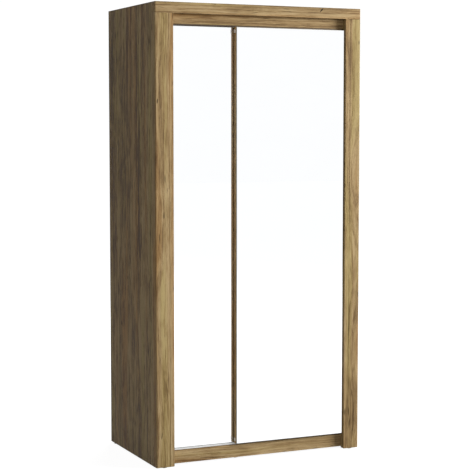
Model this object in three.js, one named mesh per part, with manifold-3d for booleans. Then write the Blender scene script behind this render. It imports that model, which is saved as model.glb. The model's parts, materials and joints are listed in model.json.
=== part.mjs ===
// Sliding door wardrobe: two mirrored doors run past each other on grooved wheels
// in a board carcass with a heavy front frame.
// Millimetres, +Z up. Origin: centre of the footprint, at floor level. The front faces -Y.

import * as THREE from 'three';
import { mergeVertices } from 'three/addons/utils/BufferGeometryUtils.js';
import Module from 'manifold-3d';

const wasm = await Module();
wasm.setup();

// ---- driving dimensions ----------------------------------------------------------------

const WIDTH = 1040;
const DEPTH = 620;
const HEIGHT = 2100;
const GAP = 0.3; // left between pieces that touch

const BOARD = 16; // carcass board
const BACK_BOARD = 3; // hardboard back
const BACK_MARGIN = 4; // the back panels stop short of the outer edges
const GLIDE_H = 4; // lifts every board clear of the floor

const LEFT_POST_W = 88;
const RIGHT_POST_W = 78;
const POST_T = 30;
const TOP_RAIL_H = 49;
const EDGE_R = 6; // rounding of the frame's outer upright edges

const PLINTH_FOOT = 10; // air under the plinths
const PLINTH_TOP = 72.5;
const REAR_PLINTH_INSET = 40;
const FASCIA_BOTTOM = 2006;
const TOP_PANEL_TOP = 2086; // the top panel is sunk behind the front rail
const HEADER_DEPTH = 90; // board over the doors that carries the guide rail

const DOOR_SPACE = 80; // depth from the front that the doors need
const PARTITION_X = -106; // middle of the partition, behind the doors' overlap
const HAT_SHELF_Z = 1790;
const SHELF_LEVELS = [430, 790, 1150, 1510];
const SHELF_SETBACK = 20; // loose shelves stand behind the partition's front edge
const SHELF_PLAY = 1; // air at each end of a shelf

const DOOR_T = 20; // mirror and board together
const MIRROR_T = 4;
const MIRROR_SIDE_INSET = 3; // board left bare beside the mirror
const MIRROR_END_INSET = 1; // and above and below it
const DOOR_CORNER_R = 2;
const DOOR_BOTTOM = 77;
const DOOR_TOP = 1999.5;
const DOORS = { // left and right edges, and mirror face, from the wardrobe's left front corner
  rear: { left: 62, right: 430, front: 40 },
  front: { left: 399, right: 960, front: 10 },
};
const DOOR_GAP = 10; // air between the doors, where the front door's running gear sits
const REAR_TRAVEL = 340; // the rear door's way to the right

const WHEEL_INSET = 70; // from a door's upright edge to a wheel's middle
const WHEEL_OFFSET = 4.7; // from a door's back to a wheel's middle
const WHEEL_R = 12;
const WHEEL_ROLLING_R = 10; // bottom of the groove, which runs on the rib
const WHEEL_W = 5;
const WHEEL_BORE_R = 2.3;
const AXLE_R = 2;

const RAIL_DEPTH = 44; // running rail and guide rail, front to back
const RUNNING_BASE_T = 2;
const RIB_W = 2;
const RIB_TOP = 79.5;
const GUIDE_RAIL_H = 5;
const SLOT_W = 5;
const SLOT_H = 4.2;

// ---- places that follow from them --------------------------------------------------------

const LEFT = -WIDTH / 2;
const RIGHT = WIDTH / 2;
const FRONT = -DEPTH / 2;
const BACK = DEPTH / 2;

const frameBack = FRONT + POST_T;
const boardFront = frameBack + GAP; // front face of the fascia and plinth, front edge of the sides
const boardBack = BACK - BACK_BOARD - GAP; // rear edge of the carcass boards
const innerLeft = LEFT + BOARD + GAP;
const innerRight = RIGHT - BOARD - GAP;
const behindFascia = boardFront + BOARD + GAP;
const insideFront = FRONT + DOOR_SPACE;
const topPanelBottom = TOP_PANEL_TOP - BOARD;
const bottomPanelBottom = PLINTH_TOP - BOARD;
const partitionLeft = PARTITION_X - BOARD / 2;
const partitionRight = PARTITION_X + BOARD / 2;
const runningBase = PLINTH_TOP + GAP;
const guideMouth = FASCIA_BOTTOM - GAP - GUIDE_RAIL_H;
const wheelZ = RIB_TOP + WHEEL_ROLLING_R + GAP;

// ---- finishes ----------------------------------------------------------------------------

const FINISHES = {
  oak: { color: 0xa38b67, roughness: 0.62, metalness: 0 },
  oakShade: { color: 0x8f7a5a, roughness: 0.62, metalness: 0 },
  carcassInside: { color: 0xb9a27c, roughness: 0.6, metalness: 0 },
  hardboard: { color: 0xb49c78, roughness: 0.8, metalness: 0 },
  mirror: { color: 0xf4f7f9, roughness: 0.02, metalness: 1 },
  steel: { color: 0xc2c4c6, roughness: 0.3, metalness: 1 },
  aluminium: { color: 0xc9cacb, roughness: 0.4, metalness: 1 },
  bronze: { color: 0x3a332b, roughness: 0.45, metalness: 0.8 },
  nylon: { color: 0xdcdad2, roughness: 0.5, metalness: 0 },
  rubber: { color: 0x2c2a28, roughness: 0.9, metalness: 0 },
  pad: { color: 0xb8a892, roughness: 0.8, metalness: 0 },
};

const wardrobe = new THREE.Group();

function add(name, geometry, finish) {
  const mesh = new THREE.Mesh(geometry, new THREE.MeshStandardMaterial(FINISHES[finish]));
  mesh.name = name;
  wardrobe.add(mesh);
}

// ---- shapes ------------------------------------------------------------------------------

// A board given by its two opposite corners.
function block([x0, y0, z0], [x1, y1, z1]) {
  const box = new THREE.BoxGeometry(x1 - x0, y1 - y0, z1 - z0);
  return box.translate((x0 + x1) / 2, (y0 + y1) / 2, (z0 + z1) / 2);
}

function polygon(points) {
  return new THREE.Shape(points.map(([across, up]) => new THREE.Vector2(across, up)));
}

function extrude(shape, depth, curveSegments = 6) {
  return new THREE.ExtrudeGeometry(shape, { depth, bevelEnabled: false, curveSegments });
}

// A shape in plan, raised from z0 to z1.
function upright(shape, z0, z1) {
  return extrude(shape, z1 - z0).translate(0, 0, z0);
}

// A shape whose own axes are Y and Z, run along X from x0 to x1.
function alongX(shape, x0, x1) {
  const solid = extrude(shape, x1 - x0, 8);
  solid.rotateX(Math.PI / 2);
  solid.rotateZ(Math.PI / 2);
  return solid.translate(x0, 0, 0);
}

// A shape whose own axes are X and Z, run along Y from y0 to y1.
function alongY(shape, y0, y1) {
  const solid = extrude(shape, y1 - y0, 3);
  solid.rotateX(Math.PI / 2);
  return solid.translate(0, y1, 0);
}

// A turned piece on an axis along Y; the profile is [radius, distance along] points.
function turned(profile, [x, y, z], segments = 28) {
  const points = profile.map(([radius, along]) => new THREE.Vector2(radius, along));
  return new THREE.LatheGeometry(points, segments).translate(x, y, z);
}

// A round disc between two heights.
function disc([x, y], z0, z1, radius) {
  const solid = new THREE.CylinderGeometry(radius, radius, z1 - z0, 24);
  solid.rotateX(Math.PI / 2);
  return solid.translate(x, y, (z0 + z1) / 2);
}

// An upright oval with flat sides round a middle point.
function oval([across, up], width, height) {
  const r = width / 2;
  const straight = height / 2 - r;
  const shape = new THREE.Shape();
  shape.moveTo(across + r, up - straight);
  shape.lineTo(across + r, up + straight);
  shape.absarc(across, up + straight, r, 0, Math.PI, false);
  shape.lineTo(across - r, up - straight);
  shape.absarc(across, up - straight, r, Math.PI, 2 * Math.PI, false);
  return shape;
}

// An upright rectangle with softened corners.
function softRectangle(x0, x1, z0, z1, r) {
  const shape = new THREE.Shape();
  shape.moveTo(x0 + r, z0);
  shape.lineTo(x1 - r, z0);
  shape.absarc(x1 - r, z0 + r, r, -Math.PI / 2, 0, false);
  shape.lineTo(x1, z1 - r);
  shape.absarc(x1 - r, z1 - r, r, 0, Math.PI / 2, false);
  shape.lineTo(x0 + r, z1);
  shape.absarc(x0 + r, z1 - r, r, Math.PI / 2, Math.PI, false);
  shape.lineTo(x0, z0 + r);
  shape.absarc(x0 + r, z0 + r, r, Math.PI, 1.5 * Math.PI, false);
  return shape;
}

function toSolid(geometry) {
  const bare = geometry.clone();
  bare.deleteAttribute('normal');
  bare.deleteAttribute('uv');
  const merged = mergeVertices(bare, 1e-4);
  return new wasm.Manifold(new wasm.Mesh({
    numProp: 3,
    vertProperties: merged.attributes.position.array,
    triVerts: Uint32Array.from(merged.index.array),
  }));
}

function toGeometry(solid) {
  const mesh = solid.getMesh();
  const geometry = new THREE.BufferGeometry();
  geometry.setAttribute('position', new THREE.BufferAttribute(mesh.vertProperties, mesh.numProp));
  geometry.setIndex(new THREE.BufferAttribute(mesh.triVerts, 1));
  geometry.computeVertexNormals();
  return geometry;
}

function cut(geometry, cutter) {
  return toGeometry(toSolid(geometry).subtract(toSolid(cutter)));
}

function join(first, second) {
  return toGeometry(toSolid(first).add(toSolid(second)));
}

// ---- front frame -------------------------------------------------------------------------

// Plan of a frame bar, with its front corner rounded at the ends that are outer edges.
function framePlan(x0, x1, roundLeft, roundRight) {
  const shape = new THREE.Shape();
  const leftR = roundLeft ? EDGE_R : 0;
  const rightR = roundRight ? EDGE_R : 0;
  shape.moveTo(x0, frameBack);
  shape.lineTo(x0, FRONT + leftR);
  if (roundLeft) shape.absarc(x0 + leftR, FRONT + leftR, leftR, Math.PI, 1.5 * Math.PI, false);
  shape.lineTo(x1 - rightR, FRONT);
  if (roundRight) shape.absarc(x1 - rightR, FRONT + rightR, rightR, 1.5 * Math.PI, 2 * Math.PI, false);
  shape.lineTo(x1, frameBack);
  return shape;
}

function buildFrontFrame() {
  const foot = GLIDE_H + GAP;
  const railBottom = HEIGHT - TOP_RAIL_H;
  const leftPost = framePlan(LEFT, LEFT + LEFT_POST_W, true, false);
  const rightPost = framePlan(RIGHT - RIGHT_POST_W, RIGHT, false, true);
  add('front_post_left', upright(leftPost, foot, railBottom - GAP), 'oak');
  add('front_post_right', upright(rightPost, foot, railBottom - GAP), 'oak');
  add('top_front_rail', upright(framePlan(LEFT, RIGHT, true, true), railBottom, HEIGHT), 'oak');
}

// ---- carcass -----------------------------------------------------------------------------

// A board that spans the inside of the carcass from side to side.
function addCross(name, [y0, y1], [z0, z1], finish) {
  add(name, block([innerLeft, y0, z0], [innerRight, y1, z1]), finish);
}

function buildCarcass() {
  const foot = GLIDE_H + GAP;
  add('side_panel_left',
    block([LEFT, boardFront, foot], [LEFT + BOARD, boardBack, HEIGHT]), 'oakShade');
  add('side_panel_right',
    block([RIGHT - BOARD, boardFront, foot], [RIGHT, boardBack, HEIGHT]), 'oakShade');

  const frontBoard = [boardFront, boardFront + BOARD];
  addCross('plinth_front', frontBoard, [PLINTH_FOOT, PLINTH_TOP], 'oak');
  addCross('fascia', frontBoard, [FASCIA_BOTTOM, TOP_PANEL_TOP], 'oak');

  const fullDepth = [behindFascia, boardBack];
  addCross('bottom_panel', fullDepth, [bottomPanelBottom, PLINTH_TOP], 'carcassInside');
  addCross('top_panel', fullDepth, [topPanelBottom, TOP_PANEL_TOP], 'carcassInside');
  addCross('header_board', [behindFascia, behindFascia + HEADER_DEPTH],
    [FASCIA_BOTTOM, FASCIA_BOTTOM + BOARD], 'carcassInside');
}

// The partition is notched round the header board, so that it reaches the top panel.
function buildPartition() {
  const headerBack = behindFascia + HEADER_DEPTH + GAP;
  const foot = PLINTH_TOP + GAP;
  const outline = polygon([
    [insideFront, foot],
    [boardBack, foot],
    [boardBack, topPanelBottom - GAP],
    [headerBack, topPanelBottom - GAP],
    [headerBack, FASCIA_BOTTOM - GAP],
    [insideFront, FASCIA_BOTTOM - GAP],
  ]);
  add('partition', alongX(outline, partitionLeft, partitionRight), 'carcassInside');
}

function buildBase() {
  const rearPlinthBack = boardBack - REAR_PLINTH_INSET;
  const rearPlinthFront = rearPlinthBack - BOARD;
  const top = bottomPanelBottom - GAP;
  addCross('plinth_rear', [rearPlinthFront, rearPlinthBack], [PLINTH_FOOT, top], 'carcassInside');
  const bearerFoot = [partitionLeft, behindFascia, GLIDE_H + GAP];
  add('middle_bearer', block(bearerFoot, [partitionRight, rearPlinthFront - GAP, top]), 'carcassInside');
}

// Two panels nailed on from behind, which meet on the partition's rear edge.
function buildBackPanels() {
  const bottom = PLINTH_FOOT + BACK_MARGIN;
  const top = TOP_PANEL_TOP - BACK_MARGIN;
  const front = BACK - BACK_BOARD;
  const spans = {
    left: [LEFT + BACK_MARGIN, PARTITION_X - GAP / 2],
    right: [PARTITION_X + GAP / 2, RIGHT - BACK_MARGIN],
  };
  for (const [side, [x0, x1]] of Object.entries(spans)) {
    add(`back_panel_${side}`, block([x0, front, bottom], [x1, BACK, top]), 'hardboard');
  }
}

// ---- shelves and hanging rail ------------------------------------------------------------

function buildShelves() {
  const bays = {
    left: [LEFT + BOARD + SHELF_PLAY, partitionLeft - SHELF_PLAY],
    right: [partitionRight + SHELF_PLAY, RIGHT - BOARD - SHELF_PLAY],
  };
  const shelfBack = boardBack - SHELF_PLAY;
  const shelf = ([x0, x1], front, z) => block([x0, front, z], [x1, shelfBack, z + BOARD]);
  for (const [side, bay] of Object.entries(bays)) {
    add(`hat_shelf_${side}`, shelf(bay, insideFront, HAT_SHELF_Z), 'carcassInside');
  }
  SHELF_LEVELS.forEach((z, i) => {
    add(`shelf_${i + 1}`, shelf(bays.left, insideFront + SHELF_SETBACK, z), 'carcassInside');
  });
}

const TUBE_W = 15; // oval hanging rail
const TUBE_H = 30;
const TUBE_WALL = 1.5;
const TUBE_DROP = 55; // from the hat shelf's underside to the tube's middle
const SOCKET_T = 3; // flange screwed to the board
const SOCKET_COLLAR = 12; // how far the collar reaches round the tube
const SOCKET_WALL = 2.5;
const FLANGE_W = 27;
const FLANGE_H = 58; // leaves room for a screw above and below the collar

function buildHangingRail() {
  const middle = [(insideFront + boardBack) / 2, HAT_SHELF_Z - TUBE_DROP];
  const x0 = partitionRight + GAP;
  const x1 = innerRight;

  const tube = oval(middle, TUBE_W, TUBE_H);
  tube.holes.push(oval(middle, TUBE_W - 2 * TUBE_WALL, TUBE_H - 2 * TUBE_WALL));
  add('hanging_rail', alongX(tube, x0 + SOCKET_T + GAP, x1 - SOCKET_T - GAP), 'steel');

  const mouth = oval(middle, TUBE_W + 2 * GAP, TUBE_H + 2 * GAP);
  const rim = oval(middle, TUBE_W + 2 * (GAP + SOCKET_WALL), TUBE_H + 2 * (GAP + SOCKET_WALL));
  const flange = oval(middle, FLANGE_W, FLANGE_H);
  const reach = SOCKET_T + SOCKET_COLLAR;
  const left = join(alongX(flange, x0, x0 + SOCKET_T), alongX(rim, x0, x0 + reach));
  const right = join(alongX(flange, x1 - SOCKET_T, x1), alongX(rim, x1 - reach, x1));
  add('rail_socket_left', cut(left, alongX(mouth, x0 + SOCKET_T, x0 + 2 * reach)), 'steel');
  add('rail_socket_right', cut(right, alongX(mouth, x1 - 2 * reach, x1 - SOCKET_T)), 'steel');
}

// ---- running rail, guide rail and stops ----------------------------------------------------

// Middle planes of the wheels, front door first.
function wheelPlanes() {
  return [DOORS.front, DOORS.rear].map((door) => FRONT + door.front + DOOR_T + WHEEL_OFFSET);
}

function buildRunningRail() {
  const baseTop = runningBase + RUNNING_BASE_T;
  const profile = [[boardFront, baseTop], [boardFront, runningBase]];
  profile.push([boardFront + RAIL_DEPTH, runningBase], [boardFront + RAIL_DEPTH, baseTop]);
  for (const y of wheelPlanes().reverse()) {
    const [front, back] = [y - RIB_W / 2, y + RIB_W / 2];
    profile.push([back, baseTop], [back, RIB_TOP], [front, RIB_TOP], [front, baseTop]);
  }
  add('running_rail', alongX(polygon(profile), innerLeft, innerRight), 'aluminium');
}

function buildGuideRail() {
  const top = FASCIA_BOTTOM - GAP;
  const profile = [[boardFront + RAIL_DEPTH, guideMouth], [boardFront + RAIL_DEPTH, top]];
  profile.push([boardFront, top], [boardFront, guideMouth]);
  for (const y of wheelPlanes()) {
    const [front, back] = [y - SLOT_W / 2, y + SLOT_W / 2];
    const slotTop = guideMouth + SLOT_H;
    profile.push([front, guideMouth], [front, slotTop], [back, slotTop], [back, guideMouth]);
  }
  add('guide_rail', alongX(polygon(profile), innerLeft, innerRight), 'bronze');
}

const STOP_LENGTH = 14;
const STOP_W = 5.8; // slim enough to stand behind the roller plates
const STOP_H = 12;
const STOP_CLEARANCE = 1; // between a stop and the wheel that meets it

// Rubber stops that sit astride the rear rib, one at each end of the rear door's travel.
function buildStops() {
  const y = wheelPlanes()[1];
  const base = runningBase + RUNNING_BASE_T + GAP;
  const firstWheel = LEFT + DOORS.rear.left + WHEEL_INSET;
  const lastWheel = LEFT + DOORS.rear.right - WHEEL_INSET;
  const places = {
    left: firstWheel - WHEEL_R - STOP_CLEARANCE - STOP_LENGTH,
    right: lastWheel + REAR_TRAVEL + WHEEL_R + STOP_CLEARANCE,
  };
  const past = 1; // the cutter runs past the rubber
  for (const [side, x] of Object.entries(places)) {
    const rubber = block([x, y - STOP_W / 2, base], [x + STOP_LENGTH, y + STOP_W / 2, base + STOP_H]);
    const saddle = block(
      [x - past, y - RIB_W / 2 - GAP, base - past],
      [x + STOP_LENGTH + past, y + RIB_W / 2 + GAP, RIB_TOP + GAP],
    );
    add(`track_stop_${side}`, cut(rubber, saddle), 'rubber');
  }
}

// ---- doors -------------------------------------------------------------------------------

function buildDoor(name) {
  const left = LEFT + DOORS[name].left;
  const right = LEFT + DOORS[name].right;
  const face = FRONT + DOORS[name].front;
  const back = face + DOOR_T;

  const board = softRectangle(left, right, DOOR_BOTTOM, DOOR_TOP, DOOR_CORNER_R);
  const glass = softRectangle(
    left + MIRROR_SIDE_INSET,
    right - MIRROR_SIDE_INSET,
    DOOR_BOTTOM + MIRROR_END_INSET,
    DOOR_TOP - MIRROR_END_INSET,
    DOOR_CORNER_R,
  );
  add(`${name}_door_board`, alongY(board, face + MIRROR_T + GAP, back), 'oak');
  add(`${name}_door_mirror`, alongY(glass, face, face + MIRROR_T), 'mirror');

  for (const [side, x] of [['left', left + WHEEL_INSET], ['right', right - WHEEL_INSET]]) {
    buildRoller(`${name}_${side}`, x, back);
    buildGuide(`${name}_guide_${side}`, x, back);
  }
}

const PLATE_T = 1.3;
const PLATE_W = 46;
const PLATE_BELOW = 7; // the plate's reach below and above the axle
const PLATE_ABOVE = 40;
const AXLE_HEAD_R = 3.6;
const AXLE_HEAD_T = 1;
const RUNNING_CLEARANCE = 0.15; // round the axle in its plate

// Plate on the door's back; its riveted axle carries the grooved wheel.
function buildRoller(name, x, back) {
  const plateFront = back + GAP;
  const plate = block(
    [x - PLATE_W / 2, plateFront, wheelZ - PLATE_BELOW],
    [x + PLATE_W / 2, plateFront + PLATE_T, wheelZ + PLATE_ABOVE],
  );
  const holeR = AXLE_R + RUNNING_CLEARANCE;
  const hole = [[0, -PLATE_T], [holeR, -PLATE_T], [holeR, 2 * PLATE_T], [0, 2 * PLATE_T]];
  add(`${name}_roller_plate`, cut(plate, turned(hole, [x, plateFront, wheelZ])), 'steel');

  const half = WHEEL_W / 2;
  const floor = RIB_W / 2 + 0.5; // half width of the groove's floor
  const lip = floor + 0.4; // and of its mouth
  const wheel = [
    [WHEEL_BORE_R, -half],
    [WHEEL_R, -half],
    [WHEEL_R, -lip],
    [WHEEL_ROLLING_R, -floor],
    [WHEEL_ROLLING_R, floor],
    [WHEEL_R, lip],
    [WHEEL_R, half],
    [WHEEL_BORE_R, half],
    [WHEEL_BORE_R, -half],
  ];
  add(`${name}_wheel`, turned(wheel, [x, back + WHEEL_OFFSET, wheelZ]), 'nylon');

  const headFront = WHEEL_OFFSET + half + GAP;
  const headBack = headFront + AXLE_HEAD_T;
  const axle = [[0, GAP], [AXLE_R, GAP], [AXLE_R, headFront], [AXLE_HEAD_R, headFront]];
  axle.push([AXLE_HEAD_R, headBack], [0, headBack]);
  add(`${name}_axle`, turned(axle, [x, back, wheelZ], 16), 'steel');
}

const GUIDE_W = 50;
const GUIDE_H = 44;
const GUIDE_T = DOOR_GAP - 1.8;
const GUIDE_CHAMFER = 10; // slope of its lower end
const GUIDE_SHOULDER = 3; // air between its shoulders and the rail
const TONGUE_W = 3.6;
const TONGUE_PLAY = 1; // air over the tongue

// Block on the door's back whose tongue stands up into the guide rail's slot.
function buildGuide(name, x, back) {
  const y0 = back + GAP;
  const y1 = y0 + GUIDE_T;
  const middle = back + WHEEL_OFFSET;
  const shoulder = guideMouth - GUIDE_SHOULDER;
  const tongueTop = guideMouth + SLOT_H - TONGUE_PLAY;
  const outline = polygon([
    [y0, guideMouth - GUIDE_H],
    [y1, guideMouth - GUIDE_H + GUIDE_CHAMFER],
    [y1, shoulder],
    [middle + TONGUE_W / 2, shoulder],
    [middle + TONGUE_W / 2, tongueTop],
    [middle - TONGUE_W / 2, tongueTop],
    [middle - TONGUE_W / 2, shoulder],
    [y0, shoulder],
  ]);
  add(name, alongX(outline, x - GUIDE_W / 2, x + GUIDE_W / 2), 'nylon');
}

const PAD_T = 3;
const PAD_H = 15;
const PAD_FROM_END = 12;
const PAD_MARGIN = 1; // the pad is a little narrower than the board's edge

// Pads on the front door's leading edge, which meets the left post when the door is slid over.
function buildEdgePads() {
  const door = DOORS.front;
  const y0 = FRONT + door.front + MIRROR_T + GAP + PAD_MARGIN;
  const y1 = FRONT + door.front + DOOR_T - PAD_MARGIN;
  const x1 = LEFT + door.left - GAP;
  const feet = { top: DOOR_TOP - PAD_FROM_END - PAD_H, bottom: DOOR_BOTTOM + PAD_FROM_END };
  for (const [place, z] of Object.entries(feet)) {
    add(`edge_pad_${place}`, block([x1 - PAD_T, y0, z], [x1, y1, z + PAD_H]), 'pad');
  }
}

// ---- feet and wall brackets ----------------------------------------------------------------

const POST_GLIDE_R = 11;
const BOARD_GLIDE_R = 7.5;
const GLIDE_FROM_BACK = 45;
const BEARER_GLIDE_FROM_END = 60;

function buildGlides() {
  const postY = FRONT + POST_T / 2;
  const rearY = boardBack - GLIDE_FROM_BACK;
  const bearerRear = boardBack - REAR_PLINTH_INSET - BOARD - BEARER_GLIDE_FROM_END;
  const spots = {
    post_left: [LEFT + LEFT_POST_W / 2, postY],
    post_right: [RIGHT - RIGHT_POST_W / 2, postY],
    rear_left: [LEFT + BOARD / 2, rearY],
    rear_right: [RIGHT - BOARD / 2, rearY],
    bearer_front: [PARTITION_X, behindFascia + BEARER_GLIDE_FROM_END],
    bearer_rear: [PARTITION_X, bearerRear],
  };
  for (const [place, spot] of Object.entries(spots)) {
    const radius = place.startsWith('post') ? POST_GLIDE_R : BOARD_GLIDE_R;
    add(`glide_${place}`, disc(spot, 0, GLIDE_H, radius), 'nylon');
  }
}

const BRACKET_T = 2;
const BRACKET_W = 30;
const BRACKET_LEG = 40;
const BRACKET_INSET = 160; // from the wardrobe's side to the bracket's middle
const BRACKET_HOLE_R = 2.5;
const BRACKET_HOLE_FROM_TIP = 12;

// Angles screwed to the top panel; the upright leaf is the face that goes to the wall.
function buildWallBrackets() {
  const foot = TOP_PANEL_TOP + GAP;
  const tip = BACK - BRACKET_LEG;
  const profile = polygon([
    [tip, foot],
    [BACK, foot],
    [BACK, HEIGHT - BRACKET_T],
    [BACK - BRACKET_T, HEIGHT - BRACKET_T],
    [BACK - BRACKET_T, foot + BRACKET_T],
    [tip, foot + BRACKET_T],
  ]);
  const middles = { left: LEFT + BRACKET_INSET, right: RIGHT - BRACKET_INSET };
  for (const [side, x] of Object.entries(middles)) {
    const angle = alongX(profile, x - BRACKET_W / 2, x + BRACKET_W / 2);
    const hole = disc([x, tip + BRACKET_HOLE_FROM_TIP], foot - 1, foot + BRACKET_T + 1, BRACKET_HOLE_R);
    add(`wall_bracket_${side}`, cut(angle, hole), 'steel');
  }
}

buildFrontFrame();
buildCarcass();
buildPartition();
buildBase();
buildBackPanels();
buildShelves();
buildHangingRail();
buildRunningRail();
buildGuideRail();
buildStops();
buildDoor('rear');
buildDoor('front');
buildEdgePads();
buildGlides();
buildWallBrackets();

export default wardrobe;
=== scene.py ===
"""Sliding door wardrobe: the finished pieces, fitted to the wardrobe's working model."""

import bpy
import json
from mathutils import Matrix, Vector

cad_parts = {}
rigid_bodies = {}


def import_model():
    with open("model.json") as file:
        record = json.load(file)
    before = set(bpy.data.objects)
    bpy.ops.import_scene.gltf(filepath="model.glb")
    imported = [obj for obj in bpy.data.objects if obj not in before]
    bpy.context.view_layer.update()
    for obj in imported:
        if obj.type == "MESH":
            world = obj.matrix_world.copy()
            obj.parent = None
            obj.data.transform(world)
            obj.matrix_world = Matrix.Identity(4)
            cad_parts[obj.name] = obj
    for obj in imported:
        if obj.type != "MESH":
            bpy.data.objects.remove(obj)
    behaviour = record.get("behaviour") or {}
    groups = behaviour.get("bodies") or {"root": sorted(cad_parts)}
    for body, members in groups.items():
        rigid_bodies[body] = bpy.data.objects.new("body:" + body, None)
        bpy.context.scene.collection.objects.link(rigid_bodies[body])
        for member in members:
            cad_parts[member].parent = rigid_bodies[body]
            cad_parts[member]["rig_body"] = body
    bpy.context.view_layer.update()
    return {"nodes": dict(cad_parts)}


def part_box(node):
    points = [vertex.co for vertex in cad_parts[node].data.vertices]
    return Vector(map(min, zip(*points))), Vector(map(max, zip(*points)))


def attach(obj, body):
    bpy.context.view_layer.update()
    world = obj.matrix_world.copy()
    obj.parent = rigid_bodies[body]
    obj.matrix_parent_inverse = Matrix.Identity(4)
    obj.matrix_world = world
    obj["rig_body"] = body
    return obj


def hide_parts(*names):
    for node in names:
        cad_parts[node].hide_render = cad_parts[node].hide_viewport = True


bl_info = {
    "name": "Sliding Door Wardrobe",
    "version": (1, 0, 0),
    "blender": (4, 5, 0),
    "location": "View3D > Sidebar > Wardrobe",
    "description": "Makes the boards, mirrors, running gear and fittings of a sliding door wardrobe",
    "category": "Object",
}

import json
import math
import random

import bmesh
import bpy
from bpy.props import FloatProperty, FloatVectorProperty, IntProperty, PointerProperty
from mathutils import Matrix, Vector

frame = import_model()

MM = 0.001
NAIL_PROUD = 0.3 * MM  # how far the nails stand out of the back panels
CARCASS = "carcass"
ACROSS, DEEP, UP = 0, 1, 2  # X, Y and Z

RAIL_LOW, RAIL_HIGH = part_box("running_rail")
TUBE_LOW, TUBE_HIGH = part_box("hanging_rail")
SHELVES = [f"shelf_{n}" for n in range(1, 5)]
SHELF_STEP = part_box("shelf_2")[0].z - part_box("shelf_1")[0].z
DOORS = ("rear", "front")
SIDES = ("left", "right")


# ---- sizes and colours ---------------------------------------------------------------------


def length(name, description, default, most=1.0):
    """A length in metres that the user can change."""
    return FloatProperty(
        name=name, description=description, default=default, min=0.0, max=most,
        precision=5, unit="LENGTH", subtype="DISTANCE",
    )


def colour(name, description, default):
    """A colour in linear light."""
    return FloatVectorProperty(
        name=name, description=description, default=default, min=0.0, max=1.0,
        size=3, subtype="COLOR",
    )


class WardrobeSizes(bpy.types.PropertyGroup):
    """Sizes of the finishing work. The boards' own sizes come from the working model."""

    arris: length("Board arris", "Rounding of the boards' edges", 0.0009, 0.005)
    post_round: length("Frame rounding", "Rounding of the frame's outer upright edges", 0.006, 0.02)
    groove_inset: length("Groove inset", "From a post's inner edge to its groove", 0.022, 0.06)
    groove_width: length("Groove width", "Width of the groove down each post", 0.0032, 0.01)
    groove_depth: length("Groove depth", "Depth of the groove down each post", 0.0013, 0.005)
    band: length("Edge band", "Thickness of the edge bands", 0.0012, 0.004)
    glass_bevel: length("Mirror bevel", "Width of the ground bevel round each mirror", 0.0015, 0.01)
    sheet_edge: length("Back panel arris", "Rounding of the back panels' edges", 0.0004, 0.002)
    stop_round: length("Stop rounding", "Rounding of the rubber stops", 0.0007, 0.003)
    plate_edge: length("Plate arris", "Rounding of the roller plates' edges", 0.0002, 0.001)
    bracket_edge: length("Bracket arris", "Rounding of the wall brackets' edges", 0.0003, 0.001)
    guide_edge: length("Guide arris", "Rounding of the door guides' edges", 0.0005, 0.002)
    tube_wall: length("Tube wall", "Thickness of the hanging rail's wall", 0.0015, 0.004)
    metal_edge: length("Metal arris", "Rounding of the metal fittings' edges", 0.00025, 0.002)
    rail_screw: length("Rail screw head", "Width of the screw heads in the rails", 0.0060, 0.01)
    plate_screw: length("Fitting screw head", "Width of the heads on the running gear", 0.0058, 0.01)
    nail_head: length("Nail head", "Width of a nail's head", 0.0042, 0.01)
    nail_spacing: length("Nail spacing", "From one nail in the back to the next", 0.098, 0.3)
    nail_inset: length("Nail inset", "From a back panel's edge to its nails", 0.008, 0.05)
    pin_hole: length("Pin hole", "Width of a shelf pin's hole", 0.005, 0.01)
    pin_hole_depth: length("Pin hole depth", "Depth of a shelf pin's hole", 0.010, 0.015)
    pin_step: length("Hole spacing", "From one shelf pin hole to the next", 0.032, 0.1)
    pin_inset: length("Hole row inset", "From a shelf's edge to the row of holes", 0.037, 0.2)
    cam_cover: length("Cam cover", "Width of the caps over the cam fittings", 0.017, 0.03)
    rail_screw_step: length("Rail screw spacing", "Along the running and guide rails", 0.24, 0.5)
    wheel_ribs: IntProperty(
        name="Wheel ribs", description="Ribs between a wheel's hub and rim", default=6, min=3, max=12
    )


class WardrobeColours(bpy.types.PropertyGroup):
    """Colours of the finishes."""

    oak_dark: colour("Oak, dark", "Oldest and darkest fibres", (0.085, 0.050, 0.023))
    oak_brown: colour("Oak, brown", "Brown bands", (0.218, 0.138, 0.062))
    oak_middle: colour("Oak, middle", "The oak's main tone", (0.345, 0.235, 0.110))
    oak_pale: colour("Oak, pale", "Pale early wood", (0.470, 0.342, 0.180))
    # The knot colour also paints the shade along some oak boards' edges.
    oak_knot: colour("Oak knot", "Knots and cracks", (0.030, 0.019, 0.010))
    inside: colour("Inside boards", "Plain decor inside the carcass", (0.47, 0.36, 0.225))
    chipboard: colour("Chipboard", "Raw board at edges without a band", (0.40, 0.29, 0.17))
    hardboard: colour("Hardboard", "The back panels", (0.30, 0.20, 0.115))
    silver: colour("Mirror silver", "The mirrors' silvered glass", (0.955, 0.965, 0.975))
    glass_edge: colour("Glass edge", "Ground edges of the mirrors", (0.46, 0.47, 0.43))
    steel: colour("Zinc plate", "Plated steel fittings", (0.60, 0.61, 0.62))
    aluminium: colour("Rail aluminium", "The running rail", (0.62, 0.62, 0.61))
    bronze: colour("Rail bronze", "The guide rail", (0.075, 0.056, 0.040))
    nylon: colour("Nylon", "Wheels, guides and glides", (0.70, 0.68, 0.62))
    rubber: colour("Rubber", "Track stops", (0.022, 0.021, 0.020))
    felt: colour("Felt", "Buffers on the front door's edge", (0.82, 0.72, 0.60))


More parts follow.
